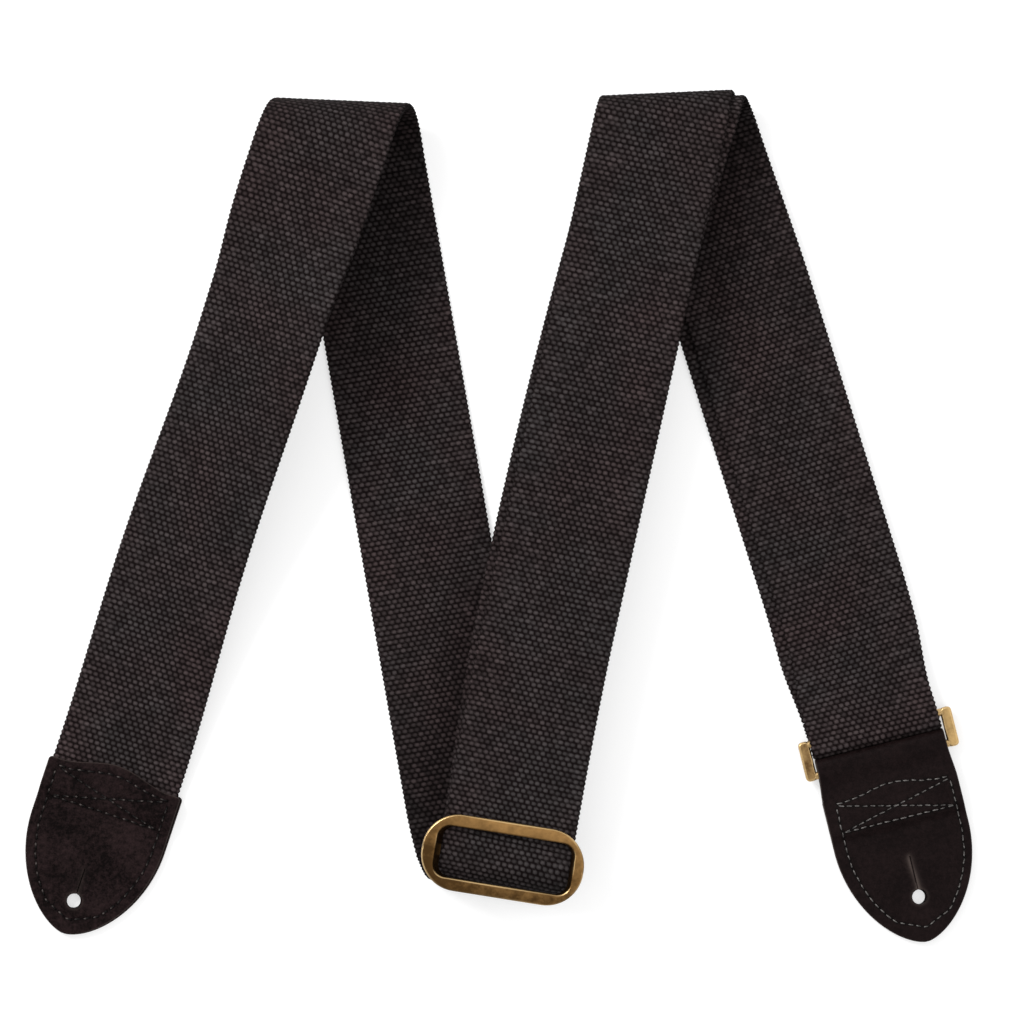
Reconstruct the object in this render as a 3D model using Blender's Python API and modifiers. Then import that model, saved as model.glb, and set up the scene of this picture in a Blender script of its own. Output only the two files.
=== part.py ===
"""Guitar strap, folded once at each end of its long runs and laid flat.

A 51 mm cotton webbing runs from a leather end tab up to the left fold, down to the bottom fold, up
through a brass slider to the right fold and down to a brass ring. It turns round the ring's upper bar
and comes back along itself, as the tail, to the slider's centre bar. A second leather tab is looped
round the ring's lower bar. Units are metres, +Z is up and the strap lies on z = 0.
"""
import math

import bmesh
import bpy
from mathutils import Matrix, Vector

MM = 0.001

# Webbing and leather
WEB_WIDTH = 50.8 * MM
WEB_THICK = 2.0 * MM
LEATHER_THICK = 1.7 * MM
GAP = 0.3 * MM

# Where the centre lines of two neighbouring runs would cross, seen from above
LEFT_TURN = Vector((-59.52, 167.62)) * MM
BOTTOM_TURN = Vector((-4.22, -148.38)) * MM
RIGHT_TURN = Vector((65.88, 168.52)) * MM
TAB_A_TIP = Vector((-168.72, -161.58)) * MM
RING_CENTRE = Vector((147.08, -88.08)) * MM

# Half heights of the loops at the three folds, between the middles of the layers
LEFT_LOOP = 16.0 * MM
BOTTOM_LOOP = 10.0 * MM
RIGHT_LOOP = 10.0 * MM
BOTTOM_REACH_LEFT = 6.6 * MM
BOTTOM_REACH_RIGHT = 11.8 * MM

# Heights of the middles of the layers
LAYER = WEB_THICK + GAP
Z_LOW = WEB_THICK / 2
Z_LEFT_TOP = Z_LOW + 2 * LEFT_LOOP
Z_MIDDLE = Z_LOW + 2 * RIGHT_LOOP
Z_TAIL_MIDDLE = Z_MIDDLE - LAYER
Z_TAIL_RIGHT = Z_LOW + LAYER
TAIL_LOOP = RIGHT_LOOP - LAYER

# Runs: how far each fold piece reaches along the webbing from its turn
LEFT_FOLD_REACH = 36.0 * MM
BOTTOM_FOLD_REACH = 24.0 * MM
RIGHT_FOLD_REACH = 28.0 * MM

# The front run is tipped about its length, its right edge up, most at a third of its way down
FRONT_TIP = 9.0 * MM

# The tail lies a little to one side of the webbing that it doubles
TAIL_SHIFT = 4.6 * MM
TAIL_SHIFT_AT_SLIDER = -0.8 * MM
TAIL_BOW = -14.0 * MM
SHIFT_AT_RING = 0.4 * MM

# The webbing's gentle bends in plan: round the bottom turn, in the front run and in the right run
BOTTOM_DRIFT = 3.85 * MM
DRIFT_BEFORE = 40.0 * MM
DRIFT_AFTER = 108.0 * MM
FRONT_BOW = 1.75 * MM
FRONT_BOW_FROM = 105.0 * MM
FRONT_BOW_LENGTH = 172.0 * MM
RIGHT_BOW = 1.5 * MM

# End tabs
TAB_HALF = 26.7 * MM
TAB_SHOULDER = 42.0 * MM
TAB_TIP_POWER = 0.63
TAB_LENGTH = 68.5 * MM
OGEE_RISE = 4.3 * MM
WEB_IN_TAB = 14.0 * MM
STEP_LENGTH = 6.0 * MM
HOLE_RADIUS = 2.9 * MM
HOLE_A = 13.3 * MM
HOLE_B = 17.7 * MM
HOLE_B_SIDE = 1.2 * MM
SLIT_A = 10.3 * MM
SLIT_B = 13.4 * MM
SLIT_WIDTH = 0.4 * MM
BACK_TOP = LEATHER_THICK
Z_FRONT = BACK_TOP + GAP + LEATHER_THICK / 2
Z_WEB_IN_TAB = BACK_TOP + GAP + WEB_THICK / 2

# Slider
SLIDER_LENGTH = 62.8 * MM
SLIDER_WIDTH = 29.6 * MM
SLIDER_OPEN_LENGTH = 52.5 * MM
SLIDER_OPEN_WIDTH = 19.9 * MM
SLIDER_OPEN_CORNER = 5.0 * MM
SLIDER_OPEN_SHIFT = 0.75 * MM
POST_SPACING = 57.0 * MM
SLIDER_THICK = 3.2 * MM
SLIDER_PLACE = 17.5 * MM
TAIL_LOOP_END = 28.0 * MM
BAR_OFFSET = 3.4 * MM
SLIDER_SIDE = 2.0 * MM
SLIDER_TILT = math.radians(3.4)
BAR_WIDTH = 4.0 * MM
BAR_THICK = 2.6 * MM
POST_THICK = 3.0 * MM

# Ring
RING_INNER_WIDTH = 52.8 * MM
RING_BAR = 3.0 * MM
RING_SIDE_WIDTH = 4.1 * MM
RING_BAR_SPACING = 12.3 * MM
RING_LENGTH = 15.6 * MM
RING_HEADING = math.radians(14.0)
Z_RING = Z_LOW + WEB_THICK / 2 + GAP + RING_BAR / 2
LOOP_RADIUS = RING_BAR / 2 + GAP + WEB_THICK / 2
LEATHER_LOOP_RADIUS = RING_BAR / 2 + GAP + LEATHER_THICK / 2
TAB_B_LENGTH = 79.0 * MM

# Threads
THREAD_RADIUS = 0.3 * MM
EDGE_INSET = 4.0 * MM
EDGE_START = 5.6 * MM
CROSS_HALF = 22.5 * MM
CROSS_DROP = 0.9 * MM

LEATHER_COLOUR = (0.020, 0.016, 0.014)
WEB_COLOUR = (0.030, 0.026, 0.025)
BRASS_COLOUR = (0.42, 0.27, 0.10)
BLACK_THREAD = (0.012, 0.011, 0.011)
GREY_THREAD = (0.25, 0.24, 0.23)


# ---------------------------------------------------------------- scene and materials

def clear_scene():
    for item in list(bpy.data.objects):
        bpy.data.objects.remove(item, do_unlink=True)


def new_collection(name):
    found = bpy.data.collections.new(name)
    bpy.context.scene.collection.children.link(found)
    return found


def material(name, colour, roughness, metallic=0.0):
    made = bpy.data.materials.new(name)
    made.use_nodes = True
    shader = made.node_tree.nodes["Principled BSDF"]
    shader.inputs["Base Color"].default_value = (*colour, 1.0)
    shader.inputs["Roughness"].default_value = roughness
    shader.inputs["Metallic"].default_value = metallic
    return made


# ---------------------------------------------------------------- directions and curves

def unit(a, b):
    return (b - a).normalized()


def right_of(direction):
    return Vector((direction.y, -direction.x))


def smooth(t):
    t = min(max(t, 0.0), 1.0)
    return t * t * (3 - 2 * t)


def heading(angle):
    """The direction that points down the page, turned by an angle to its left."""
    return Vector((math.sin(angle), -math.cos(angle)))


FRONT_UP = unit(TAB_A_TIP, LEFT_TURN)
BACK_DOWN = unit(LEFT_TURN, BOTTOM_TURN)
MIDDLE_UP = unit(BOTTOM_TURN, RIGHT_TURN)
RIGHT_DOWN = unit(RIGHT_TURN, RING_CENTRE)
FRONT_LENGTH = (LEFT_TURN - TAB_A_TIP).length
BACK_LENGTH = (BOTTOM_TURN - LEFT_TURN).length
MIDDLE_LENGTH = (RIGHT_TURN - BOTTOM_TURN).length
RIGHT_LENGTH = (RING_CENTRE - RIGHT_TURN).length

# Where the loop round the ring takes over from the main layer, and where it hands on to the tail
RING_LOOP_START = RIGHT_LENGTH - 16 * MM
RING_LOOP_END = RIGHT_LENGTH - 44 * MM


def fold_frame(turn, arriving, leaving):
    """The fold's own directions: along its axis, and outwards to its rounded end."""
    along = (arriving + leaving).normalized()
    outward = Vector((-along.y, along.x))
    if outward.dot(arriving) < 0:
        outward = -outward
    return {"turn": turn, "in": arriving, "along": along, "out": outward}


def fold_point(fold, s, x, quarter, reach, z_in, z_out):
    """A point of a strip that bends round a fold.

    s is measured along the strip from the turn and x across it, to the right of its first direction.
    quarter is the strip's length in a quarter of the loop, and reach how far the loop stands out.
    """
    flat = fold["in"] * s + right_of(fold["in"]) * x
    u = flat.dot(fold["along"])
    v = flat.dot(fold["out"])
    if v < -quarter:
        place, z = fold["turn"] + flat, z_in
    elif v > quarter:
        place = fold["turn"] + fold["along"] * u - fold["out"] * v
        z = z_out
    else:
        turned = v / quarter * math.pi / 2
        out = reach(u) * math.cos(turned) - quarter
        place = fold["turn"] + fold["along"] * u + fold["out"] * out
        z = (z_in + z_out) / 2 - (z_in - z_out) / 2 * math.sin(turned)
    return Vector((place.x, place.y, z))


LEFT_FOLD = fold_frame(LEFT_TURN, FRONT_UP, BACK_DOWN)
BOTTOM_FOLD = fold_frame(BOTTOM_TURN, BACK_DOWN, MIDDLE_UP)
RIGHT_FOLD = fold_frame(RIGHT_TURN, MIDDLE_UP, RIGHT_DOWN)


# ---------------------------------------------------------------- the webbing's mid surface

def bottom_drift(s):
    """The webbing's sideways bend round the bottom turn, at s past it."""
    rise = smooth((s + DRIFT_BEFORE) / (DRIFT_BEFORE + 16 * MM))
    fall = min(max(1 - s / DRIFT_AFTER, 0.0), 1.0) ** 1.6
    return BOTTOM_DRIFT * rise * fall


def right_bow(s):
    """The right run's sideways bend, at s past the right turn."""
    return RIGHT_BOW * smooth((s - 20 * MM) / (70 * MM)) * (1 - smooth((s - 205 * MM) / (48 * MM)))


def left_fold_point(s, x):
    return fold_point(LEFT_FOLD, s, x, LEFT_LOOP * math.pi / 2, lambda u: LEFT_LOOP, Z_LEFT_TOP, Z_LOW)


def bottom_reach(u):
    share = min(max(0.5 + u / WEB_WIDTH, 0.0), 1.0)
    return BOTTOM_REACH_LEFT + (BOTTOM_REACH_RIGHT - BOTTOM_REACH_LEFT) * share


def bottom_fold_point(s, x):
    quarter = BOTTOM_LOOP * math.pi / 2
    return fold_point(BOTTOM_FOLD, s, x - bottom_drift(s), quarter, bottom_reach, Z_LOW, Z_MIDDLE)


def main_shift(s):
    """How far the main layer lies to the side of the right run's centre line, at s past the turn."""
    near_ring = smooth((s - 226 * MM) / (28 * MM))
    return -TAIL_SHIFT / 2 * (1 - near_ring) - SHIFT_AT_RING / 2 * near_ring


def right_fold_point(s, x):
    quarter = RIGHT_LOOP * math.pi / 2
    shift = main_shift(0) * smooth((s + quarter) / (2 * quarter))
    return fold_point(RIGHT_FOLD, s, x + shift, quarter, lambda u: RIGHT_LOOP, Z_MIDDLE, Z_LOW)


def tail_shift_middle(s):
    """The tail's sideways shift in the middle run, at s short of the right turn."""
    t = 1 + s / (MIDDLE_LENGTH - 45 * MM)
    t = min(max(t, 0.0), 1.0)
    return TAIL_SHIFT_AT_SLIDER * (1 - t) + TAIL_BOW * t * (1 - t) + TAIL_SHIFT * t * t


def tail_shift_right(s):
    return -main_shift(s)


def tail_fold_point(s, x):
    quarter = RIGHT_LOOP * math.pi / 2
    share = smooth((s + quarter) / (2 * quarter))
    shift = tail_shift_middle(s) * (1 - share) + tail_shift_right(s) * share
    return fold_point(RIGHT_FOLD, s, x + shift, quarter, lambda u: TAIL_LOOP, Z_TAIL_MIDDLE, Z_TAIL_RIGHT)


def flat_point(start, direction, s, x, z):
    place = start + direction * s + right_of(direction) * x
    return Vector((place.x, place.y, z))


def left_front_point(s, x):
    """The front run, which comes down from the left fold to lie between the tab's two leathers."""
    tab_edge = FRONT_LENGTH - TAB_LENGTH + OGEE_RISE
    t = (-s - LEFT_FOLD_REACH) / (tab_edge - LEFT_FOLD_REACH)
    t = min(max(t, 0.0), 1.0)
    z = Z_LEFT_TOP + (Z_WEB_IN_TAB - Z_LEFT_TOP) * smooth(t)
    tip = FRONT_TIP * math.sin(math.pi * t**0.6) * smooth(t * 5)
    lean = math.asin(tip / (WEB_WIDTH / 2))
    share = min(max((-s - FRONT_BOW_FROM) / FRONT_BOW_LENGTH, 0.0), 1.0)
    bow = FRONT_BOW * math.sin(math.pi * share) ** 2
    return flat_point(LEFT_TURN, FRONT_UP, s, x * math.cos(lean) - bow, z + x * math.sin(lean))


def left_back_point(s, x):
    return flat_point(LEFT_TURN, BACK_DOWN, s, x - bottom_drift(s - BACK_LENGTH), Z_LOW)


def middle_point(s, x):
    return flat_point(BOTTOM_TURN, MIDDLE_UP, s, x + bottom_drift(s), Z_MIDDLE)


def middle_tail_point(s, x):
    shift = tail_shift_middle(s) + bottom_drift(s + MIDDLE_LENGTH)
    return flat_point(RIGHT_TURN, MIDDLE_UP, s, x + shift, Z_TAIL_MIDDLE)


def right_main_point(s, x):
    return flat_point(RIGHT_TURN, RIGHT_DOWN, s, x - main_shift(s) - right_bow(s), Z_LOW)


def right_tail_point(s, x):
    return flat_point(RIGHT_TURN, RIGHT_DOWN, s, x - tail_shift_right(s) - right_bow(s), Z_TAIL_RIGHT)


# ---------------------------------------------------------------- solids

def steps(first, last, count):
    return [first + (last - first) * i / count for i in range(count + 1)]


def grid_sheet(name, rows, collection, paint, thick):
    """An open sheet through rows of points, given its thickness by Solidify."""
    mesh = bpy.data.meshes.new(name)
    bm = bmesh.new()
    lines = [[bm.verts.new(point) for point in row] for row in rows]
    for lower, upper in zip(lines, lines[1:]):
        for i in range(len(lower) - 1):
            bm.faces.new((lower[i], lower[i + 1], upper[i + 1], upper[i]))
    bmesh.ops.recalc_face_normals(bm, faces=bm.faces)
    bm.to_mesh(mesh)
    bm.free()
    mesh.materials.append(paint)
    made = bpy.data.objects.new(name, mesh)
    collection.objects.link(made)
    solid = made.modifiers.new("thickness", "SOLIDIFY")
    solid.thickness = thick
    solid.offset = 0.0
    solid.use_even_offset = True
    return made


def strip(name, point, first, last, count, collection, paint, columns=4):
    """A length of webbing whose mid surface is given by point(s, x)."""
    across = steps(-WEB_WIDTH / 2, WEB_WIDTH / 2, columns)
    rows = [[point(s, x) for x in across] for s in steps(first, last, count)]
    return grid_sheet(name, rows, collection, paint, WEB_THICK)


def profile_strip(name, profile, place, half_width, collection, paint, thick, columns=4):
    """A strip that follows a side view, given as (distance, height) pairs."""
    rows = []
    for t, z in profile:
        half = half_width(t)
        rows.append([place(t, x, z) for x in steps(-half, half, columns)])
    return grid_sheet(name, rows, collection, paint, thick)


def arc(centre, radius, first, last, count):
    """Points of an arc in a side view, in degrees."""
    found = []
    for angle in steps(math.radians(first), math.radians(last), count):
        found.append((centre[0] + radius * math.cos(angle), centre[1] + radius * math.sin(angle)))
    return found


def as_mesh(item):
    """A curve turned into a closed mesh object in the same place."""
    graph = bpy.context.evaluated_depsgraph_get()
    mesh = bpy.data.meshes.new_from_object(item.evaluated_get(graph))
    bm = bmesh.new()
    bm.from_mesh(mesh)
    bmesh.ops.remove_doubles(bm, verts=bm.verts, dist=0.00001)
    bmesh.ops.recalc_face_normals(bm, faces=bm.faces)
    bm.to_mesh(mesh)
    bm.free()
    made = bpy.data.objects.new(item.name + "_mesh", mesh)
    made.matrix_world = item.matrix_world
    for owner in item.users_collection:
        owner.objects.link(made)
    name = item.name
    bpy.data.objects.remove(item, do_unlink=True)
    made.name = name
    return made


def outline_plate(name, outlines, thick, collection):
    """A flat plate from closed outlines, the first outside and the others its openings."""
    curve = bpy.data.curves.new(name, "CURVE")
    curve.dimensions = "2D"
    curve.fill_mode = "BOTH"
    curve.extrude = thick / 2
    for points in outlines:
        spline = curve.splines.new("POLY")
        spline.points.add(len(points) - 1)
        for node, (x, y) in zip(spline.points, points):
            node.co = (x, y, 0, 1)
        spline.use_cyclic_u = True
    made = bpy.data.objects.new(name, curve)
    collection.objects.link(made)
    return made


def rounded_outline(length, width, radius, count, shift=0.0):
    """A rectangle with rounded corners, as points anticlockwise."""
    found = []
    for corner in range(4):
        side_x = 1 if corner in (0, 3) else -1
        side_y = 1 if corner in (0, 1) else -1
        centre = (side_x * (length / 2 - radius) + shift, side_y * (width / 2 - radius))
        found += arc(centre, radius, 90 * corner, 90 * corner + 90, count)
    return found


def box(name, size, centre, collection):
    bpy.ops.mesh.primitive_cube_add(size=1, location=centre)
    made = bpy.context.object
    made.name = name
    made.scale = size
    bpy.ops.object.transform_apply(location=False, rotation=False, scale=True)
    move_to(made, collection)
    return made


def cylinder(name, radius, depth, centre, collection, sides=32):
    bpy.ops.mesh.primitive_cylinder_add(vertices=sides, radius=radius, depth=depth, location=centre)
    made = bpy.context.object
    made.name = name
    move_to(made, collection)
    return made


def move_to(item, collection):
    for owner in list(item.users_collection):
        owner.objects.unlink(item)
    collection.objects.link(item)


def combine(target, tool, operation):
    modifier = target.modifiers.new(operation.lower(), "BOOLEAN")
    modifier.operation = operation
    modifier.object = tool
    modifier.solver = "EXACT"
    tool.hide_render = True
    tool.display_type = "WIRE"


def thread(name, points, collection, paint):
    """A sewing thread as a thin round line."""
    curve = bpy.data.curves.new(name, "CURVE")
    curve.dimensions = "3D"
    curve.bevel_depth = THREAD_RADIUS
    curve.bevel_resolution = 1
    curve.use_fill_caps = True
    spline = curve.splines.new("POLY")
    spline.points.add(len(points) - 1)
    for node, point in zip(spline.points, points):
        node.co = (*point, 1)
    curve.materials.append(paint)
    made = bpy.data.objects.new(name, curve)
    collection.objects.link(made)
    return made


# ---------------------------------------------------------------- webbing

def build_webbing(parts, paint):
    half_gap = GAP / 2
    tab_end = -(FRONT_LENGTH - TAB_LENGTH + WEB_IN_TAB)
    left = LEFT_FOLD_REACH
    bottom = BOTTOM_FOLD_REACH
    right = RIGHT_FOLD_REACH
    slider_end = -(MIDDLE_LENGTH - SLIDER_PLACE - TAIL_LOOP_END)
    strip("left_front_run", left_front_point, tab_end, -left - half_gap, 30, parts, paint)
    strip("left_fold", left_fold_point, -left + half_gap, left - half_gap, 36, parts, paint, 6)
    back_end = BACK_LENGTH - bottom - half_gap
    strip("left_back_run", left_back_point, left + half_gap, back_end, 16, parts, paint)
    strip("bottom_fold", bottom_fold_point, -bottom + half_gap, bottom - half_gap, 30, parts, paint, 6)
    strip("middle_run", middle_point, bottom + half_gap, MIDDLE_LENGTH - right - half_gap, 20, parts, paint)
    strip("right_fold", right_fold_point, -right + half_gap, right - half_gap, 30, parts, paint, 6)
    strip("right_run", right_main_point, right + half_gap, RING_LOOP_START - half_gap, 16, parts, paint)
    strip("tail_right_run", right_tail_point, right + half_gap, RING_LOOP_END - half_gap, 14, parts, paint)
    strip("tail_right_fold", tail_fold_point, -right + half_gap, right - half_gap, 30, parts, paint, 6)
    strip("tail_middle_run", middle_tail_point, slider_end + half_gap, -right - half_gap, 20, parts, paint)


def build_ring_loop(parts, paint):
    """The webbing's turn round the ring's upper bar, from the main layer up into the tail."""
    apex = RIGHT_LENGTH - GAP / 2
    centre = (apex - WEB_THICK / 2 - LOOP_RADIUS, Z_LOW + LOOP_RADIUS)
    profile = [(s, Z_LOW) for s in steps(RING_LOOP_START + GAP / 2, centre[0] - 1 * MM, 4)]
    profile += arc(centre, LOOP_RADIUS, -90, 90, 10)
    top = centre[1] + LOOP_RADIUS
    lead = centre[0] - RING_BAR_SPACING / 2
    profile.append((lead, top))
    for s in steps(lead - 2 * MM, RING_LOOP_END + GAP / 2, 8):
        share = smooth((lead - s) / (lead - RING_LOOP_END - 4 * MM))
        profile.append((s, top + (Z_TAIL_RIGHT - top) * share))
    half = len(profile) / 2

    rows = []
    for i, (s, z) in enumerate(profile):
        side = min(max((i - half) / half * 2, -1.0), 1.0)
        shift = main_shift(s) * side - right_bow(s)
        first = RING_LOOP_START if side < 0 else RING_LOOP_END
        skew = math.tan(ring_tilt()) * smooth((s - first) / (centre[0] - 4 * MM - first))
        across = steps(-WEB_WIDTH / 2, WEB_WIDTH / 2, 4)
        rows.append([flat_point(RIGHT_TURN, RIGHT_DOWN, s - x * skew, x + shift, z) for x in across])
    return grid_sheet("ring_loop", rows, parts, paint, WEB_THICK)


def ring_tilt():
    """How far the ring is turned from square across the right run."""
    return math.atan2(RIGHT_DOWN.x, -RIGHT_DOWN.y) - RING_HEADING


def slider_centre():
    return BOTTOM_TURN + MIDDLE_UP * SLIDER_PLACE + right_of(MIDDLE_UP) * SLIDER_SIDE


def slider_matrix(z):
    """The slider's frame: X along its bars, Y up the run."""
    angle = math.atan2(-MIDDLE_UP.x, MIDDLE_UP.y) + SLIDER_TILT
    centre = slider_centre()
    return Matrix.Translation((centre.x, centre.y, z)) @ Matrix.Rotation(angle, 4, "Z")


def build_tail_loop(parts, paint):
    """The tail's sewn end round the slider's centre bar."""
    upper = Z_TAIL_MIDDLE
    radius = (BAR_THICK + WEB_THICK) / 2 + GAP
    lower = upper - 2 * radius
    centre = (BAR_OFFSET - BAR_WIDTH / 2 + 0.6 * MM, upper - radius)
    joined = upper - LAYER
    profile = [(t, upper) for t in steps(TAIL_LOOP_END - GAP / 2, centre[0] + 1 * MM, 4)]
    profile += arc(centre, radius, 90, 270, 10)
    free = BAR_OFFSET + BAR_WIDTH / 2 + 2.4 * MM
    profile.append((free, lower))
    for share in steps(0, 1, 5)[1:]:
        profile.append((free + 7 * MM * share, lower + (joined - lower) * smooth(share)))
    profile.append((TAIL_LOOP_END - 4 * MM, joined))
    shift = TAIL_SHIFT_AT_SLIDER

    def place(t, x, z):
        past = smooth(t / TAIL_LOOP_END)
        turned = x * math.tan(SLIDER_TILT) * (1 - past)
        side = x - SLIDER_SIDE + shift * past + bottom_drift(SLIDER_PLACE + t)
        return flat_point(slider_centre(), MIDDLE_UP, t + turned, side, z)

    return profile_strip("tail_loop", profile, place, lambda t: WEB_WIDTH / 2, parts, paint, WEB_THICK)


# ---------------------------------------------------------------- leather end tabs

def tab_half(t, full=TAB_HALF):
    """The tab's half width at a distance from its tip."""
    if t >= TAB_SHOULDER:
        return full
    left = 1 - t / TAB_SHOULDER
    return full * (1 - left * left) ** TAB_TIP_POWER


def ogee(c):
    """The rise of the tab's inner edge at a place across it, from -1 to 1."""
    return OGEE_RISE * 0.5 * (1 + math.cos(math.pi * min(abs(c) * 1.15, 1.0)))


def tab_place(tip, inward):
    """Turns a tab's own coordinates into world ones: t from the tip, x to the right of inward."""

    def place(t, x, z):
        spot = tip + inward * t + right_of(inward) * x
        return Vector((spot.x, spot.y, z))

    return place


def tab_sheet(name, place, height, edge, parts, paint, rows=26, columns=12):
    """A leather blank: rounded point at one end, edge(c) at the other."""
    first = 0.4 * MM
    lines = []
    for i in range(rows + 1):
        share = (i / rows) ** 1.3
        line = []
        for c in steps(-1, 1, columns):
            t = first + (edge(c) - first) * share
            line.append(place(t, c * tab_half(t), height(t)))
        lines.append(line)
    return grid_sheet(name, lines, parts, paint, LEATHER_THICK)


def step_height(low, high, start):
    """A height that rises from low to high over the thickness that it covers."""
    return lambda t: low + (high - low) * smooth((t - start) / STEP_LENGTH)


def keyhole(name, place, hole, side, slit, turn, cutters):
    """A button hole with a slit that runs inwards from it."""
    centre = place(hole, side, 3 * MM)
    round_hole = cylinder(name + "_hole", HOLE_RADIUS, 20 * MM, centre, cutters)
    middle = place(hole + HOLE_RADIUS / 2 + slit / 2, side, 3 * MM)
    cut = box(name + "_slit", (SLIT_WIDTH, slit + HOLE_RADIUS, 20 * MM), (0, 0, 0), cutters)
    cut.matrix_world = Matrix.Translation(middle) @ Matrix.Rotation(turn, 4, "Z")
    return [round_hole, cut]


def flat_height(t):
    """The height of a leather that lies flat on the table."""
    return LEATHER_THICK / 2


def build_tab_a(parts, cutters, leather):
    place = tab_place(TAB_A_TIP, FRONT_UP)
    turn = math.atan2(-FRONT_UP.x, FRONT_UP.y)
    tools = keyhole("tab_a", place, HOLE_A, 0.0, SLIT_A, turn, cutters)
    web_end = TAB_LENGTH - WEB_IN_TAB
    raised = Z_WEB_IN_TAB + WEB_THICK / 2 + GAP + LEATHER_THICK / 2
    height = step_height(Z_FRONT, raised, web_end - GAP - STEP_LENGTH)
    straight = TAB_LENGTH - OGEE_RISE
    front = tab_sheet("tab_a_front_leather", place, height, lambda c: straight + ogee(c), parts, leather)
    back = tab_sheet("tab_a_back_leather", place, flat_height, lambda c: straight, parts, leather)
    for item in (front, back):
        for tool in tools:
            combine(item, tool, "DIFFERENCE")
    return place, height


def build_tab_b(parts, cutters, leather):
    inward = -heading(RING_HEADING)
    tip = RING_CENTRE - inward * TAB_B_LENGTH
    place = tab_place(tip, inward)
    turn = math.atan2(-inward.x, inward.y)
    tools = keyhole("tab_b", place, HOLE_B, HOLE_B_SIDE, SLIT_B, turn, cutters)
    edge_length = TAB_LENGTH - 1.5 * MM
    straight = edge_length - OGEE_RISE
    edge = lambda c: straight + ogee(c)
    cover = tab_sheet("tab_b_cover_leather", place, flat_height, edge, parts, leather)
    sandwich = straight - 12 * MM
    upper = Z_FRONT + LEATHER_THICK + GAP
    height = step_height(Z_FRONT, upper, sandwich - GAP - STEP_LENGTH)
    wrap = build_wrap(place, height, sandwich, edge_length, parts, leather)
    for item in (cover, wrap):
        for tool in tools:
            combine(item, tool, "DIFFERENCE")
    return place, height


def build_wrap(place, height, sandwich, edge_length, parts, leather):
    """The leather that carries on past the seam, round the ring's lower bar and back under itself."""
    radius = LEATHER_LOOP_RADIUS
    apex = TAB_B_LENGTH - GAP / 2
    centre = (apex - LEATHER_THICK / 2 - radius, Z_RING)
    upper = height(edge_length)
    profile = [(t, height(t)) for t in steps(0.4 * MM, 6 * MM, 6)]
    profile += [(t, height(t)) for t in steps(6 * MM, sandwich - STEP_LENGTH - 1 * MM, 10)[1:]]
    profile += [(t, height(t)) for t in steps(sandwich - STEP_LENGTH - 1 * MM, sandwich + 1 * MM, 6)[1:]]
    rise_from = edge_length - 1.5 * MM
    rise_to = centre[0] - 1 * MM
    for t in steps(rise_from, rise_to, 5):
        share = smooth((t - rise_from) / (rise_to - rise_from))
        profile.append((t, upper + (Z_RING + radius - upper) * share))
    profile += arc(centre, radius, 90, -90, 10)
    low = Z_RING - radius
    fall_from = edge_length + 3.6 * MM
    fall_to = edge_length + 0.6 * MM
    for share in steps(0, 1, 4):
        t = fall_from + (fall_to - fall_from) * share
        profile.append((t, low + (Z_FRONT - low) * smooth(share)))
    profile.append((sandwich + 1 * MM, Z_FRONT))

    def half_width(t):
        neck = smooth((t - (edge_length - 3 * MM)) / (9 * MM))
        return tab_half(t) * (1 - neck) + WEB_WIDTH / 2 * neck

    return profile_strip(
        "tab_b_wrap_leather", profile, place, half_width, parts, leather, LEATHER_THICK, 12
    )


# ---------------------------------------------------------------- threads

def edge_thread(name, place, height, last, parts, paint):
    """The seam that follows the tab's rounded edge."""
    lift = LEATHER_THICK / 2 + GAP + THREAD_RADIUS
    points = []
    for side in (-1, 1):
        run = []
        for share in steps(0, 1, 28):
            t = EDGE_START + (last - EDGE_START) * share**1.4
            half = max(tab_half(t) - EDGE_INSET * (1 + 0.5 * (1 - share) ** 3), 0.0)
            run.append(place(t, side * half * min(share * 6, 1.0), height(t) + lift))
        points += run[:0:-1] if side < 0 else run
    return thread(name, points, parts, paint)


def cross_thread(name, place, height, top, bottom, parts, paint):
    """The seam across the tab: along the ogee edge, then a cross between that and a lower line."""
    lift = LEATHER_THICK / 2 + 1.6 * GAP + THREAD_RADIUS

    def spot(t, x, extra=0.0):
        return place(t, x, height(t) + lift + extra)

    points = [spot(top + ogee(c) * 0.7, c * CROSS_HALF) for c in steps(-1, 1, 16)]
    corner = CROSS_HALF - 1.4 * MM
    cross_top = top - CROSS_DROP
    points += [spot(t, x) for t, x in zip(steps(cross_top, bottom, 16), steps(corner, -corner, 16))]
    points += [spot(bottom, x) for x in steps(-corner, corner, 6)[1:]]
    for share in steps(0, 1, 18)[1:-1]:
        hump = 2.5 * THREAD_RADIUS * math.sin(math.pi * share) ** 2
        points.append(spot(bottom + (cross_top - bottom) * share, corner - 2 * corner * share, hump))
    return thread(name, points, parts, paint)


def tail_thread(parts, paint):
    """The bar of stitches that closes the tail's end round the slider's centre bar."""
    z = Z_TAIL_MIDDLE - LAYER - WEB_THICK / 2 - GAP - THREAD_RADIUS
    near, far, half = 16 * MM, 22 * MM, 21 * MM
    corners = [(near, -half), (near, half), (far, half), (far, -half), (near + 1.5 * MM, -half)]
    shifts = [bottom_drift(SLIDER_PLACE + t) - SLIDER_SIDE for t, _ in corners]
    points = [flat_point(slider_centre(), MIDDLE_UP, t, x + d, z) for (t, x), d in zip(corners, shifts)]
    return thread("tail_stitching", points, parts, paint)


# ---------------------------------------------------------------- metal

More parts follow.
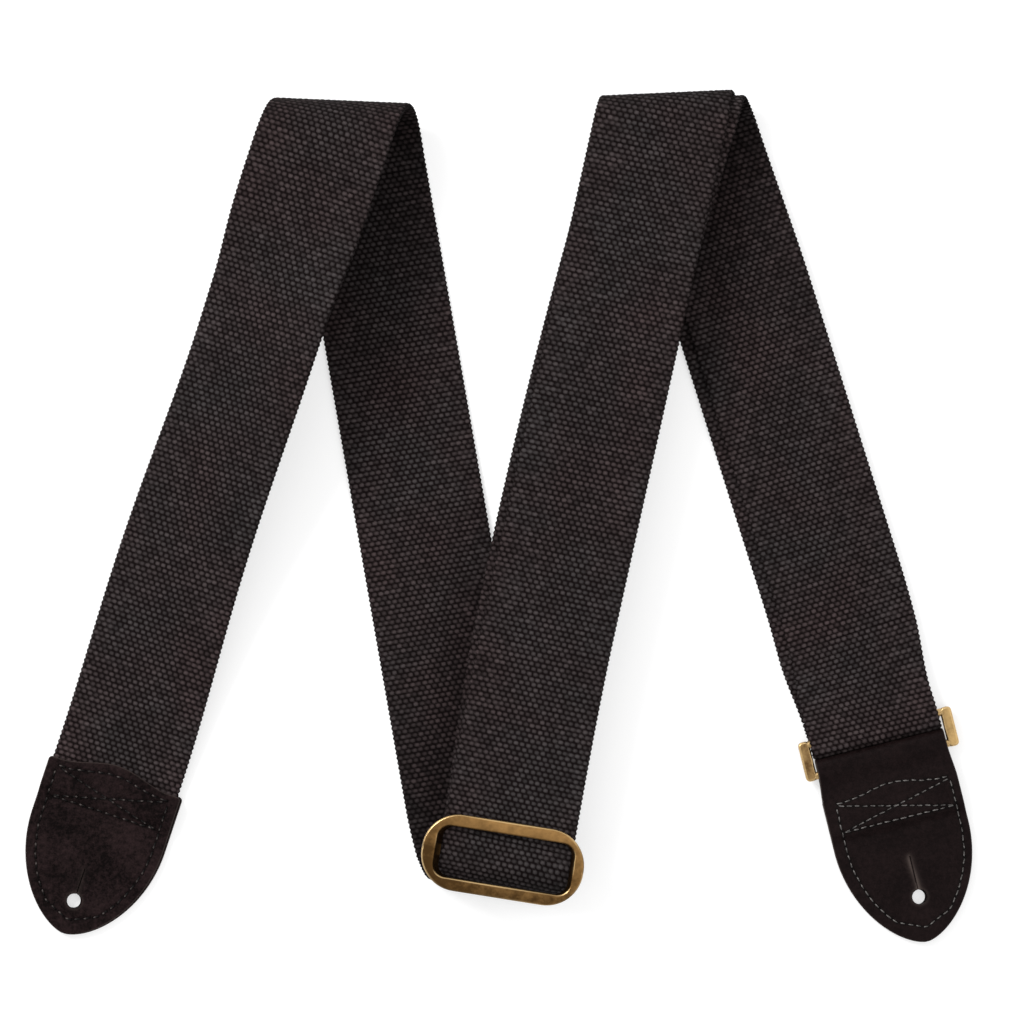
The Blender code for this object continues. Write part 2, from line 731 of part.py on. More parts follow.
def build_slider(parts, cutters, brass):
    """An oval frame over the webbing, joined by two posts to the bar under it."""
    z_frame = Z_MIDDLE + WEB_THICK / 2 + GAP + SLIDER_THICK / 2
    z_bar = Z_TAIL_MIDDLE - WEB_THICK / 2 - GAP - BAR_THICK / 2
    outer = rounded_outline(SLIDER_LENGTH, SLIDER_WIDTH, SLIDER_WIDTH / 2 - 0.6 * MM, 10)
    size = (SLIDER_OPEN_LENGTH, SLIDER_OPEN_WIDTH)
    inner = rounded_outline(*size, SLIDER_OPEN_CORNER, 5, SLIDER_OPEN_SHIFT)
    plate = outline_plate("slider", [outer, inner], SLIDER_THICK, parts)
    plate.matrix_world = slider_matrix(z_frame)
    bpy.context.view_layer.update()
    frame = as_mesh(plate)
    frame.data.materials.append(brass)
    post_height = z_frame - z_bar + BAR_THICK / 2
    post_x = POST_SPACING / 2
    tools = []
    for side in (-1, 1):
        post = box("slider_post", (POST_THICK, BAR_WIDTH, post_height), (0, 0, 0), cutters)
        middle = Matrix.Translation((side * post_x, BAR_OFFSET, (post_height - BAR_THICK) / 2))
        post.matrix_world = slider_matrix(z_bar) @ middle
        tools.append(post)
    bar = box("slider_bar", (2 * post_x, BAR_WIDTH, BAR_THICK), (0, 0, 0), cutters)
    bar.matrix_world = slider_matrix(z_bar) @ Matrix.Translation((0, BAR_OFFSET, 0))
    tools.append(bar)
    for tool in tools:
        combine(frame, tool, "UNION")
    return frame


def ring_matrix(z):
    return Matrix.Translation((RING_CENTRE.x, RING_CENTRE.y, z)) @ Matrix.Rotation(RING_HEADING, 4, "Z")


def build_ring(parts, cutters, brass):
    """Two flat side bars with rounded corners, joined by two round cross bars."""
    length = RING_INNER_WIDTH + 2 * RING_SIDE_WIDTH
    outer = rounded_outline(length, RING_LENGTH, 1.6 * MM, 4)
    side_x = RING_INNER_WIDTH / 2 + RING_SIDE_WIDTH / 2
    frame = outline_plate("ring", [outer], RING_BAR, parts)
    frame.matrix_world = ring_matrix(Z_RING)
    bpy.context.view_layer.update()
    ring = as_mesh(frame)
    ring.data.materials.append(brass)
    window = box("ring_window", (RING_INNER_WIDTH, 2 * RING_LENGTH, 3 * RING_BAR), (0, 0, 0), cutters)
    window.matrix_world = ring_matrix(Z_RING)
    combine(ring, window, "DIFFERENCE")
    for side in (-1, 1):
        bar = cylinder("ring_bar", RING_BAR / 2, 2 * side_x, (0, 0, 0), cutters, 20)
        middle = Matrix.Translation((0, side * RING_BAR_SPACING / 2, 0))
        bar.matrix_world = ring_matrix(Z_RING) @ middle @ Matrix.Rotation(math.pi / 2, 4, "Y")
        combine(ring, bar, "UNION")
    return ring


# ---------------------------------------------------------------- the whole strap

def main():
    clear_scene()
    parts = new_collection("guitar_strap")
    cutters = new_collection("cutters")
    webbing = material("webbing", WEB_COLOUR, 0.9)
    leather = material("leather", LEATHER_COLOUR, 0.8)
    brass = material("antique_brass", BRASS_COLOUR, 0.4, 1.0)
    black = material("black_thread", BLACK_THREAD, 0.7)
    grey = material("grey_thread", GREY_THREAD, 0.7)
    build_webbing(parts, webbing)
    build_ring_loop(parts, webbing)
    build_tail_loop(parts, webbing)
    place_a, height_a = build_tab_a(parts, cutters, leather)
    place_b, height_b = build_tab_b(parts, cutters, leather)
    build_slider(parts, cutters, brass)
    build_ring(parts, cutters, brass)
    top = TAB_LENGTH - OGEE_RISE - 2.6 * MM
    edge_thread("tab_a_edge_thread", place_a, height_a, top - 1.6 * MM, parts, black)
    cross_thread("tab_a_cross_thread", place_a, height_a, top, top - 12 * MM, parts, black)
    edge_thread("tab_b_edge_thread", place_b, height_b, top - 2.6 * MM, parts, grey)
    cross_thread("tab_b_cross_thread", place_b, height_b, top - 1.1 * MM, top - 12.6 * MM, parts, grey)
    tail_thread(parts, black)


main()
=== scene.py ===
"""Looks of the guitar strap: woven webbing, leather end tabs, antique brass fittings and stitching.

Every stretch of webbing is a closed ribbon whose weave is real relief: rows of rounded warp crowns,
each row set half a step to the side of the last. Shapes follow the CAD part's construction, apart
from small changes for looks. Units are metres, with +Z up and the strap lying on z = 0.
"""
import math

import bpy
import numpy as np
from mathutils import Matrix, Vector


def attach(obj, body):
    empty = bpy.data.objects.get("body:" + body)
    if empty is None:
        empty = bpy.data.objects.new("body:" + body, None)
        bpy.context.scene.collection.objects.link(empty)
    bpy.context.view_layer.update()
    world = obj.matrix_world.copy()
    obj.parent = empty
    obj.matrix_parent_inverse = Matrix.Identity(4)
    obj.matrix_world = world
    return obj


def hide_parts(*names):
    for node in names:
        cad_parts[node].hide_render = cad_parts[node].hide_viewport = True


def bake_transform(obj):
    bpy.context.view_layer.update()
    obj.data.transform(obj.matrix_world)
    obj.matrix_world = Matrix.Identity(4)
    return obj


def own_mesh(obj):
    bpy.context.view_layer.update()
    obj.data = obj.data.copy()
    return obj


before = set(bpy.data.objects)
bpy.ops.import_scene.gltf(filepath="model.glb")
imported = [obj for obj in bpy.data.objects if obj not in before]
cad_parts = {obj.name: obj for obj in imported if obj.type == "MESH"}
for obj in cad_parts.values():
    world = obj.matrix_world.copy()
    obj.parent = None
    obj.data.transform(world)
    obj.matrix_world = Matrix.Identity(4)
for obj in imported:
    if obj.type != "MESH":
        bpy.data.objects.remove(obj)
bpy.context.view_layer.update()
MM = 0.001

# Webbing
WEB_WIDTH = 50.8 * MM
PICK = 1.94 * MM
WARP = 1.2 * MM
ROWS_PER_PICK = 4
CORE = 0.72 * MM
RELIEF = 0.38 * MM
ROUND_EDGE = 1.2 * MM
SCALLOP = 0.22 * MM
# Painted shade: lower layers darkened near the folds, and steep slopes darkened by SLOPE_SHADE
PAINTED_FOLD_SHADE_REACH = 75.0 * MM
PAINTED_FOLD_SHADE_STRENGTH = 2.2
SLOPE_SHADE = 3.0
CROWN_HALF_ACROSS = 1.16 * MM
CROWN_HALF_ALONG = 0.99 * MM
CROWN_POWER = 2.3
CROWN_JITTER = 0.10 * MM

# Where the centre lines of neighbouring runs would cross, and the ends of the strap
LEFT_TURN = np.array((-59.52, 167.62)) * MM
BOTTOM_TURN = np.array((-4.22, -148.38)) * MM
RIGHT_TURN = np.array((65.88, 168.52)) * MM
TAB_A_TIP = np.array((-168.72, -161.58)) * MM
RING_CENTRE = np.array((147.08, -88.08)) * MM

# Folds and layers
LEFT_LOOP = 16.0 * MM
BOTTOM_LOOP = 10.0 * MM
RIGHT_LOOP = 10.0 * MM
LEFT_FOLD_LEAN = 1.6 * MM
BOTTOM_REACH_LEFT = 6.6 * MM
BOTTOM_REACH_RIGHT = 11.8 * MM
LAYER = 2.3 * MM
Z_LOW = 1.0 * MM
Z_LEFT_TOP = Z_LOW + 2 * LEFT_LOOP
Z_MIDDLE = Z_LOW + 2 * RIGHT_LOOP
Z_TAIL_MIDDLE = Z_MIDDLE - LAYER
Z_TAIL_RIGHT = Z_LOW + LAYER
TAIL_LOOP = RIGHT_LOOP - LAYER
LEFT_FOLD_REACH = 36.0 * MM
BOTTOM_FOLD_REACH = 24.0 * MM
RIGHT_FOLD_REACH = 28.0 * MM
FRONT_TIP = 9.0 * MM
TAIL_SHIFT = 4.6 * MM
TAIL_SHIFT_AT_SLIDER = -0.8 * MM
TAIL_BOW = -14.0 * MM
SHIFT_AT_RING = 0.4 * MM

# The webbing's gentle bends in plan: round the bottom turn, in the front run and in the right run
BOTTOM_DRIFT = 3.85 * MM
DRIFT_BEFORE = 40.0 * MM
DRIFT_AFTER = 108.0 * MM
FRONT_BOW = 1.75 * MM
FRONT_BOW_FROM = 105.0 * MM
FRONT_BOW_LENGTH = 172.0 * MM
RIGHT_BOW = 1.5 * MM

# End tabs
TAB_HALF = 26.7 * MM
TAB_SHOULDER = 42.0 * MM
TAB_TIP_POWER = 0.63
TAB_LENGTH = 68.5 * MM
TAB_B_EDGE = 67.0 * MM
TAB_B_LENGTH = 79.0 * MM
TAB_CORNER = 1.5 * MM
OGEE_RISE = 4.3 * MM
WEB_IN_TAB = 14.0 * MM
STEP_LENGTH = 6.0 * MM
LEATHER = 1.7 * MM
LEATHER_HALF = LEATHER / 2 + 0.07 * MM
NEEDLE_REACH = 0.55 * MM
NO_MARKS = (0.0, 0.0)
BACK_OVERHANG = 0.7 * MM
GAP = 0.3 * MM
HOLE_RADIUS = 2.9 * MM
HOLE_A = 13.3 * MM
HOLE_B = 17.7 * MM
HOLE_B_SIDE = 1.2 * MM
COVER_HOLE_SHIFT = 0.7 * MM
BACK_HOLE_SHIFT = 0.6 * MM
NECK_HALF = 25.6 * MM
SLIT_A = 10.3 * MM
SLIT_B = 13.4 * MM
SLIT_WIDTH_A = 0.34 * MM
SLIT_WIDTH_B = 0.18 * MM
Z_FRONT = 2.85 * MM
Z_WEB_IN_TAB = 3.0 * MM

# Slider and ring
SLIDER_LENGTH = 62.8 * MM
SLIDER_WIDTH = 29.6 * MM
SLIDER_OPEN_TOP = 53.2 * MM
SLIDER_OPEN_LOW = 50.2 * MM
SLIDER_OPEN_WIDTH = 19.9 * MM
SLIDER_SHIFT_TOP = 0.5 * MM
SLIDER_SHIFT_LOW = 0.9 * MM
POST_SPACING = 57.0 * MM
SLIDER_THICK = 3.2 * MM
SLIDER_PLACE = 17.5 * MM
SLIDER_SIDE = 2.0 * MM
SLIDER_TILT = math.radians(3.4)
BAR_OFFSET = 3.4 * MM
BAR_WIDTH = 4.0 * MM
BAR_THICK = 2.6 * MM
POST_THICK = 3.0 * MM
TAIL_LOOP_END = 28.0 * MM
RING_INNER_WIDTH = 52.2 * MM
RING_BAR = 3.0 * MM
RING_SIDE_WIDTH = 4.4 * MM
RING_BAR_SPACING = 12.3 * MM
RING_LENGTH = 15.6 * MM
RING_HEADING = math.radians(14.0)
Z_RING = 3.8 * MM
LOOP_RADIUS = 2.8 * MM
LEATHER_LOOP_RADIUS = 2.65 * MM
LOOP_OVERLAP = 0.10 * MM

# Stitching
STITCH_PITCH_A = 3.65 * MM
STITCH_PITCH_B = 3.1 * MM
STITCH_SHARE = 0.70
THREAD_RADIUS_A = 0.33 * MM
THREAD_RADIUS_B = 0.25 * MM
EDGE_INSET = 4.0 * MM
SEAM_B_SIDE = 0.8 * MM

# Colours that several materials share
WEB_BROWN = (0.052, 0.0375, 0.038)
WEB_GREY = (0.046, 0.0405, 0.041)
# Painted shade between the webbing's crowns
WEB_GAP_PAINTED_SHADE = (0.0030, 0.0012, 0.0012)
# Pale cut rims of the leather, with painted highlights on the slit ridges
LEATHER_RIM_AND_HIGHLIGHT = (0.072, 0.054, 0.048)
# Painted shade in the needle holes
LEATHER_PIT = (0.0008, 0.0006, 0.0006)
# Rubbed brass edges, with painted highlights
BRASS_WORN_AND_HIGHLIGHT = (0.80, 0.56, 0.27)


# ---------------------------------------------------------------- directions

def unit(a, b):
    return (b - a) / np.linalg.norm(b - a)


def right_of(direction):
    return np.array((direction[1], -direction[0]))


def smooth(t):
    t = np.clip(t, 0.0, 1.0)
    return t * t * (3 - 2 * t)


FRONT_UP = unit(TAB_A_TIP, LEFT_TURN)
BACK_DOWN = unit(LEFT_TURN, BOTTOM_TURN)
MIDDLE_UP = unit(BOTTOM_TURN, RIGHT_TURN)
RIGHT_DOWN = unit(RIGHT_TURN, RING_CENTRE)
FRONT_LENGTH = np.linalg.norm(LEFT_TURN - TAB_A_TIP)
BACK_LENGTH = np.linalg.norm(BOTTOM_TURN - LEFT_TURN)
MIDDLE_LENGTH = np.linalg.norm(RIGHT_TURN - BOTTOM_TURN)
RIGHT_LENGTH = np.linalg.norm(RING_CENTRE - RIGHT_TURN)
RING_LOOP_START = RIGHT_LENGTH - 16 * MM
RING_LOOP_END = RIGHT_LENGTH - 44 * MM
RING_TILT = math.atan2(RIGHT_DOWN[0], -RIGHT_DOWN[1]) - RING_HEADING


# ---------------------------------------------------------------- the webbing's mid surface

def flat_point(start, direction, s, x, z):
    """Points at s along a direction and x to its right. s, x and z are arrays that fit each other."""
    right = right_of(direction)
    place_x = start[0] + direction[0] * s + right[0] * x
    place_y = start[1] + direction[1] * s + right[1] * x
    return np.stack(np.broadcast_arrays(place_x, place_y, z), axis=-1)


def fold_frame(turn, arriving, leaving):
    along = (arriving + leaving) / np.linalg.norm(arriving + leaving)
    outward = np.array((-along[1], along[0]))
    if outward @ arriving < 0:
        outward = -outward
    return {"turn": turn, "in": arriving, "along": along, "out": outward}


def fold_point(fold, s, x, quarter, reach, z_in, z_out):
    """Points of a strip that bends round a fold, s along it from the turn and x across it."""
    right = right_of(fold["in"])
    flat = [fold["in"][k] * s + right[k] * x for k in (0, 1)]
    u = flat[0] * fold["along"][0] + flat[1] * fold["along"][1]
    v = flat[0] * fold["out"][0] + flat[1] * fold["out"][1]
    turned = np.clip(v / quarter, -1, 1) * math.pi / 2
    bent = reach(u) * np.cos(turned) - quarter
    out = np.where(v < -quarter, v, np.where(v > quarter, -v, bent))
    z = (z_in + z_out) / 2 - (z_in - z_out) / 2 * np.sin(turned)
    place = [fold["turn"][k] + fold["along"][k] * u + fold["out"][k] * out for k in (0, 1)]
    return np.stack(np.broadcast_arrays(place[0], place[1], z), axis=-1)


LEFT_FOLD = fold_frame(LEFT_TURN, FRONT_UP, BACK_DOWN)
BOTTOM_FOLD = fold_frame(BOTTOM_TURN, BACK_DOWN, MIDDLE_UP)
RIGHT_FOLD = fold_frame(RIGHT_TURN, MIDDLE_UP, RIGHT_DOWN)


def bottom_drift(s):
    """The webbing's sideways bend round the bottom turn, at s past it."""
    rise = smooth((s + DRIFT_BEFORE) / (DRIFT_BEFORE + 16 * MM))
    fall = np.clip(1 - s / DRIFT_AFTER, 0.0, 1.0) ** 1.6
    return BOTTOM_DRIFT * rise * fall


def right_bow(s):
    """The right run's sideways bend, at s past the right turn."""
    return RIGHT_BOW * smooth((s - 20 * MM) / (70 * MM)) * (1 - smooth((s - 205 * MM) / (48 * MM)))


def left_front_point(s, x):
    tab_edge = FRONT_LENGTH - TAB_LENGTH + OGEE_RISE
    t = np.clip((-s - LEFT_FOLD_REACH) / (tab_edge - LEFT_FOLD_REACH), 0.0, 1.0)
    z = Z_LEFT_TOP + (Z_WEB_IN_TAB - Z_LEFT_TOP) * smooth(t)
    tip = FRONT_TIP * np.sin(math.pi * t**0.6) * smooth(t * 5)
    lean = np.arcsin(tip / (WEB_WIDTH / 2))
    share = np.clip((-s - FRONT_BOW_FROM) / FRONT_BOW_LENGTH, 0.0, 1.0)
    bow = FRONT_BOW * np.sin(math.pi * share) ** 2
    return flat_point(LEFT_TURN, FRONT_UP, s, x * np.cos(lean) - bow, z + x * np.sin(lean))


def left_reach(u):
    return LEFT_LOOP + LEFT_FOLD_LEAN * np.clip(0.5 + u / WEB_WIDTH, 0.0, 1.0)


def left_fold_point(s, x):
    quarter = LEFT_LOOP * math.pi / 2
    return fold_point(LEFT_FOLD, s, x, quarter, left_reach, Z_LEFT_TOP, Z_LOW)


def left_back_point(s, x):
    return flat_point(LEFT_TURN, BACK_DOWN, s, x - bottom_drift(s - BACK_LENGTH), Z_LOW)


def bottom_reach(u):
    share = np.clip(0.5 + u / WEB_WIDTH, 0.0, 1.0)
    return BOTTOM_REACH_LEFT + (BOTTOM_REACH_RIGHT - BOTTOM_REACH_LEFT) * share


def bottom_fold_point(s, x):
    quarter = BOTTOM_LOOP * math.pi / 2
    return fold_point(BOTTOM_FOLD, s, x - bottom_drift(s), quarter, bottom_reach, Z_LOW, Z_MIDDLE)


def middle_point(s, x):
    return flat_point(BOTTOM_TURN, MIDDLE_UP, s, x + bottom_drift(s), Z_MIDDLE)


def main_shift(s):
    """How far the main layer lies to the side of the right run's centre line."""
    near_ring = smooth((s - 226 * MM) / (28 * MM))
    return -TAIL_SHIFT / 2 * (1 - near_ring) - SHIFT_AT_RING / 2 * near_ring


def right_fold_point(s, x):
    quarter = RIGHT_LOOP * math.pi / 2
    shift = main_shift(0) * smooth((s + quarter) / (2 * quarter))
    return fold_point(RIGHT_FOLD, s, x + shift, quarter, lambda u: RIGHT_LOOP, Z_MIDDLE, Z_LOW)


def right_main_point(s, x):
    return flat_point(RIGHT_TURN, RIGHT_DOWN, s, x - main_shift(s) - right_bow(s), Z_LOW)


def tail_shift_middle(s):
    t = np.clip(1 + s / (MIDDLE_LENGTH - 45 * MM), 0.0, 1.0)
    return TAIL_SHIFT_AT_SLIDER * (1 - t) + TAIL_BOW * t * (1 - t) + TAIL_SHIFT * t * t


def right_tail_point(s, x):
    return flat_point(RIGHT_TURN, RIGHT_DOWN, s, x + main_shift(s) - right_bow(s), Z_TAIL_RIGHT)


def tail_fold_point(s, x):
    quarter = RIGHT_LOOP * math.pi / 2
    share = smooth((s + quarter) / (2 * quarter))
    shift = tail_shift_middle(s) * (1 - share) - main_shift(s) * share
    return fold_point(RIGHT_FOLD, s, x + shift, quarter, lambda u: TAIL_LOOP, Z_TAIL_MIDDLE, Z_TAIL_RIGHT)


def middle_tail_point(s, x):
    shift = tail_shift_middle(s) + bottom_drift(s + MIDDLE_LENGTH)
    return flat_point(RIGHT_TURN, MIDDLE_UP, s, x + shift, Z_TAIL_MIDDLE)


def slider_centre():
    return BOTTOM_TURN + MIDDLE_UP * SLIDER_PLACE + right_of(MIDDLE_UP) * SLIDER_SIDE


# ---------------------------------------------------------------- side views of the two end loops

def arc(centre, radius, first, last, count):
    angles = np.radians(np.linspace(first, last, count + 1))
    return np.stack((centre[0] + radius * np.cos(angles), centre[1] + radius * np.sin(angles)), axis=-1)


def ring_loop_profile():
    """(s, z) of the turn round the ring's upper bar, and where that bar's loop is centred."""
    apex = RIGHT_LENGTH + LOOP_OVERLAP
    centre = (apex - 1.0 * MM - LOOP_RADIUS, Z_LOW + LOOP_RADIUS)
    top = centre[1] + LOOP_RADIUS
    lead = centre[0] - RING_BAR_SPACING / 2
    s = np.linspace(lead - 1 * MM, RING_LOOP_END, 24)
    share = smooth((lead - s) / (lead - RING_LOOP_END - 4 * MM))
    falling = np.stack((s, top + (Z_TAIL_RIGHT - top) * share), axis=-1)
    lower = [(RING_LOOP_START, Z_LOW), (centre[0] - 0.5 * MM, Z_LOW)]
    turn = arc(centre, LOOP_RADIUS, -90, 90, 24)
    return np.concatenate((lower, turn, [(lead, top)], falling)), centre


def tail_loop_profile():
    """(t, z) of the tail's sewn end round the slider's centre bar, from its far end to the join."""
    radius = (BAR_THICK + 2.0 * MM) / 2 + GAP
    upper = Z_TAIL_MIDDLE
    lower = upper - 2 * radius
    joined = upper - LAYER
    centre = (BAR_OFFSET - BAR_WIDTH / 2 + 0.6 * MM, upper - radius)
    free = BAR_OFFSET + BAR_WIDTH / 2 + 2.4 * MM
    share = np.linspace(0, 1, 12)
    rising = np.stack((free + 7 * MM * share, lower + (joined - lower) * smooth(share)), axis=-1)
    turn = arc(centre, radius, 90, 270, 24)
    return np.concatenate(([(TAIL_LOOP_END, upper)], turn, rising, [(TAIL_LOOP_END - 4 * MM, joined)]))


def along_profile(profile, count):
    """The profile at count + 1 evenly spaced places along it."""
    steps = np.linalg.norm(np.diff(profile, axis=0), axis=1)
    travelled = np.concatenate(([0.0], np.cumsum(steps)))
    wanted = np.linspace(0, travelled[-1], count + 1)
    found = [np.interp(wanted, travelled, profile[:, k]) for k in (0, 1)]
    return found[0][:, None], found[1][:, None], travelled[-1]


# ---------------------------------------------------------------- weave

RANDOM = np.random.default_rng(7).uniform(-1, 1, (4, 1024, 64))


def crowns(along, across, side):
    """The weave's relief: height from 0 to 1, and each crown's own shade, at places on the webbing."""
    height = np.zeros(np.broadcast(along, across).shape)
    shade = np.zeros(height.shape)
    nearest = np.floor(along / PICK).astype(int)
    for step in (-1, 0, 1):
        row = nearest + step
        offset = (row + side) % 2 * WARP
        column = np.round((across - offset) / (2 * WARP)).astype(int)
        for near in (-1, 0, 1):
            pick = (column + near) % 64
            jitter = RANDOM[:, row % 1024, pick]
            centre_x = (column + near) * 2 * WARP + offset + CROWN_JITTER * jitter[0]
            centre_a = (row + 0.5) * PICK + CROWN_JITTER * jitter[1]
            half_x = CROWN_HALF_ACROSS * (1 + 0.08 * jitter[2])
            half_a = CROWN_HALF_ALONG * (1 + 0.06 * jitter[0])
            far = np.abs((across - centre_x) / half_x) ** CROWN_POWER + ((along - centre_a) / half_a) ** 2
            cap = np.sqrt(np.clip(1 - far, 0, 1)) * (1 + 0.10 * jitter[3])
            shade = np.where(cap > height, jitter[2] * 0.6 + jitter[3] * 0.4, shade)
            height = np.maximum(height, cap)
    return height, shade


def across_places():
    """Places across the webbing, closer together at its rounded edges."""
    flat = WEB_WIDTH / 2 - ROUND_EDGE
    inner = np.linspace(-flat, flat, 2 * round(flat / WARP * 2) // 2 * 2 + 1)
    edge = ROUND_EDGE * np.array((0.35, 0.65, 0.87, 0.97, 1.0))
    return np.concatenate((-(flat + edge)[::-1], inner, flat + edge))


def mesh_object(name, points, faces, material):
    """A smooth-shaded mesh. faces is a list of arrays, each of faces with the same number of corners."""
    corners = np.concatenate([group.ravel() for group in faces])
    sizes = np.concatenate([np.full(len(group), group.shape[1]) for group in faces])
    starts = np.concatenate(([0], np.cumsum(sizes)[:-1]))
    mesh = bpy.data.meshes.new(name)
    mesh.vertices.add(len(points))
    mesh.vertices.foreach_set("co", points.astype(np.float32).ravel())
    mesh.loops.add(len(corners))
    mesh.loops.foreach_set("vertex_index", corners.astype(np.int32))
    mesh.polygons.add(len(sizes))
    mesh.polygons.foreach_set("loop_start", starts.astype(np.int32))
    mesh.update(calc_edges=True)
    mesh.validate()
    mesh.shade_smooth()
    mesh.materials.append(material)
    made = bpy.data.objects.new(name, mesh)
    bpy.context.scene.collection.objects.link(made)
    return made


def add_values(item, name, values):
    attribute = item.data.attributes.new(name, "FLOAT", "POINT")
    attribute.data.foreach_set("value", values.astype(np.float32).ravel())


def sheet_normals(points):
    down = np.gradient(points, axis=0)
    across = np.gradient(points, axis=1)
    normals = np.cross(across, down)
    return normals / np.maximum(np.linalg.norm(normals, axis=-1, keepdims=True), 1e-12)


def closed_faces(rows, columns):
    """Faces of a ribbon: two layers of a grid that share their first and last columns, and two ends."""
    top = np.arange(rows * columns).reshape(rows, columns)
    inner = rows * columns + np.arange(rows * (columns - 2)).reshape(rows, columns - 2)
    under = np.concatenate((top[:, :1], inner, top[:, -1:]), axis=1)

    def grid(layer):
        corners = (layer[:-1, :-1], layer[:-1, 1:], layer[1:, 1:], layer[1:, :-1])
        return np.stack(corners, axis=-1).reshape(-1, 4)

    def cap(row):
        corners = (top[row, 1:-2], top[row, 2:-1], under[row, 2:-1], under[row, 1:-2])
        return np.stack(corners, axis=-1)

    def tips(row):
        first = (top[row, 0], top[row, 1], under[row, 1])
        last = (top[row, -1], under[row, -2], top[row, -2])
        return np.array((first, last))

    ends = [cap(0), cap(-1)[:, ::-1], tips(0), tips(-1)[:, ::-1]]
    return [grid(top)[:, ::-1], grid(under), *ends]


def two_layers(upper, lower):
    """The values of a closed ribbon's points: its upper layer, then the lower one inside its edges."""
    return np.concatenate([grid.reshape(-1, *grid.shape[2:]) for grid in (upper, lower[:, 1:-1])])


def closed_ribbon(name, layers, material):
    return mesh_object(name, two_layers(*layers), closed_faces(*layers[0].shape[:2]), material)


def painted_fold_shade(points):
    """How much painted shade darkens the lower layers towards the folds, from 0 to 1."""
    found = np.zeros(points.shape[:-1])
    for turn in (LEFT_TURN, BOTTOM_TURN, RIGHT_TURN):
        far = np.hypot(points[..., 0] - turn[0], points[..., 1] - turn[1])
        found = np.maximum(found, np.exp(-((far / PAINTED_FOLD_SHADE_REACH) ** 2)))
    return found * (1 - smooth((points[..., 2] - 4 * MM) / (8 * MM)))


def ribbon(name, middle, along, across, material):
    """A closed, woven ribbon on a grid of middle points."""
    normals = sheet_normals(middle)
    rounding = np.clip((np.abs(across) - (WEB_WIDTH / 2 - ROUND_EDGE)) / ROUND_EDGE, 0, 1)
    fullness = np.sqrt(1 - rounding**2)
    layers = []
    heights = []
    shades = []
    for side, sign in ((0, 1), (1, -1)):
        height, shade = crowns(along, across, side)
        lift = (CORE + RELIEF * height) * fullness
        # Painted shade: each crown's own random shade, lowered on the lower layers near the folds and where
        # the webbing slopes steeply
        shade = shade - PAINTED_FOLD_SHADE_STRENGTH * painted_fold_shade(middle) - SLOPE_SHADE * (1 - np.abs(normals[..., 2]))
        layers.append(middle + normals * (sign * lift)[..., None])
        # The crown value sets the painted shade in the gaps and the painted highlight on the tops; it is
        # lowered on the rounded edges, which paints them darker
        heights.append(height * (0.4 + 0.6 * fullness))
        shades.append(shade)
    made = closed_ribbon(name, layers, material)
    grid_along, grid_across = np.broadcast_arrays(along, across)
    values = {"crown": heights, "shade": shades, "along": [grid_along] * 2, "across": [grid_across] * 2}
    for label, pair in values.items():
        add_values(made, label, two_layers(*pair))
    return made


def scalloped(along, across):
    """Places across the webbing, with its edges drawn in and out by each pick."""
    edge = smooth((np.abs(across) / (WEB_WIDTH / 2) - 0.93) / 0.07)
    wave = 0.5 - 0.5 * np.cos(2 * math.pi * along / PICK)
    return across + np.sign(across) * edge * SCALLOP * (wave * 2 - 1)


def stretch(name, point, first, last, offset, material, turned=False):
    """A length of webbing from s first to last. offset is what turns s into length along the webbing."""
    sign = -1 if turned else 1
    ends = [round((sign * s + offset) / PICK) for s in (first, last)]
    low, high = min(ends), max(ends)
    rows = (high - low) * ROWS_PER_PICK + 1
    along = (np.linspace(low, high, rows) * PICK)[:, None]
    across = across_places()[None, :]
    s = (along - offset) * sign
    return ribbon(name, point(s, scalloped(along, across)), along, across, material)


# ---------------------------------------------------------------- materials

def node_material(name):
    made = bpy.data.materials.new(name)
    made.use_nodes = True
    tree = made.node_tree
    shader = tree.nodes["Principled BSDF"]
    return made, tree, shader


def set_inputs(node, **values):
    """Sets a node's inputs, by their names with _ for a space."""
    for key, value in values.items():
        node.inputs[key.replace("_", " ")].default_value = value


def feed(tree, socket, value):
    """Gives a socket a number or a colour, or links an output to it."""
    if isinstance(value, tuple):
        socket.default_value = (*value, 1.0)
    elif isinstance(value, (int, float)):
        socket.default_value = value
    else:
        tree.links.new(value, socket)


def put(tree, kind, **values):
    """A node with some of its properties and inputs set, inputs by their names with _ for a space."""
    node = tree.nodes.new(kind)
    for key, value in values.items():
        if hasattr(node, key):
            setattr(node, key, value)
        else:
            set_inputs(node, **{key: value})
    return node


def attribute(tree, name):
    return put(tree, "ShaderNodeAttribute", attribute_name=name).outputs["Fac"]


def maths(tree, operation, *values):
    node = put(tree, "ShaderNodeMath", operation=operation)
    for socket, value in zip(node.inputs, values):
        feed(tree, socket, value)
    return node.outputs[0]


def scaled(tree, value, factor, offset):
    """value * factor + offset."""
    return maths(tree, "MULTIPLY_ADD", value, factor, offset)


def ramp(tree, factor, stops):
    node = tree.nodes.new("ShaderNodeValToRGB")
    for index, (place, colour) in enumerate(stops):
        if index < 2:
            element = node.color_ramp.elements[index]
            element.position = place
        else:
            element = node.color_ramp.elements.new(place)
        element.color = (*colour, 1.0)
    tree.links.new(factor, node.inputs[0])
    return node.outputs["Color"]


def mix(tree, factor, first, second, blend="MIX"):
    node = put(tree, "ShaderNodeMix", data_type="RGBA", blend_type=blend)
    for index, value in ((0, factor), (6, first), (7, second)):
        feed(tree, node.inputs[index], value)
    return node.outputs[2]


def object_coordinates(tree):
    return tree.nodes.new("ShaderNodeTexCoord").outputs["Object"]


def noise(tree, vector, scale, detail=4.0, roughness=0.55):
    node = put(tree, "ShaderNodeTexNoise", Scale=scale, Detail=detail, Roughness=roughness)
    tree.links.new(vector, node.inputs["Vector"])
    return node.outputs["Fac"]


def bump(tree, shader, height, distance, strength=1.0):
    node = put(tree, "ShaderNodeBump", Distance=distance, Strength=strength)
    tree.links.new(height, node.inputs["Height"])
    tree.links.new(node.outputs["Normal"], shader.inputs["Normal"])


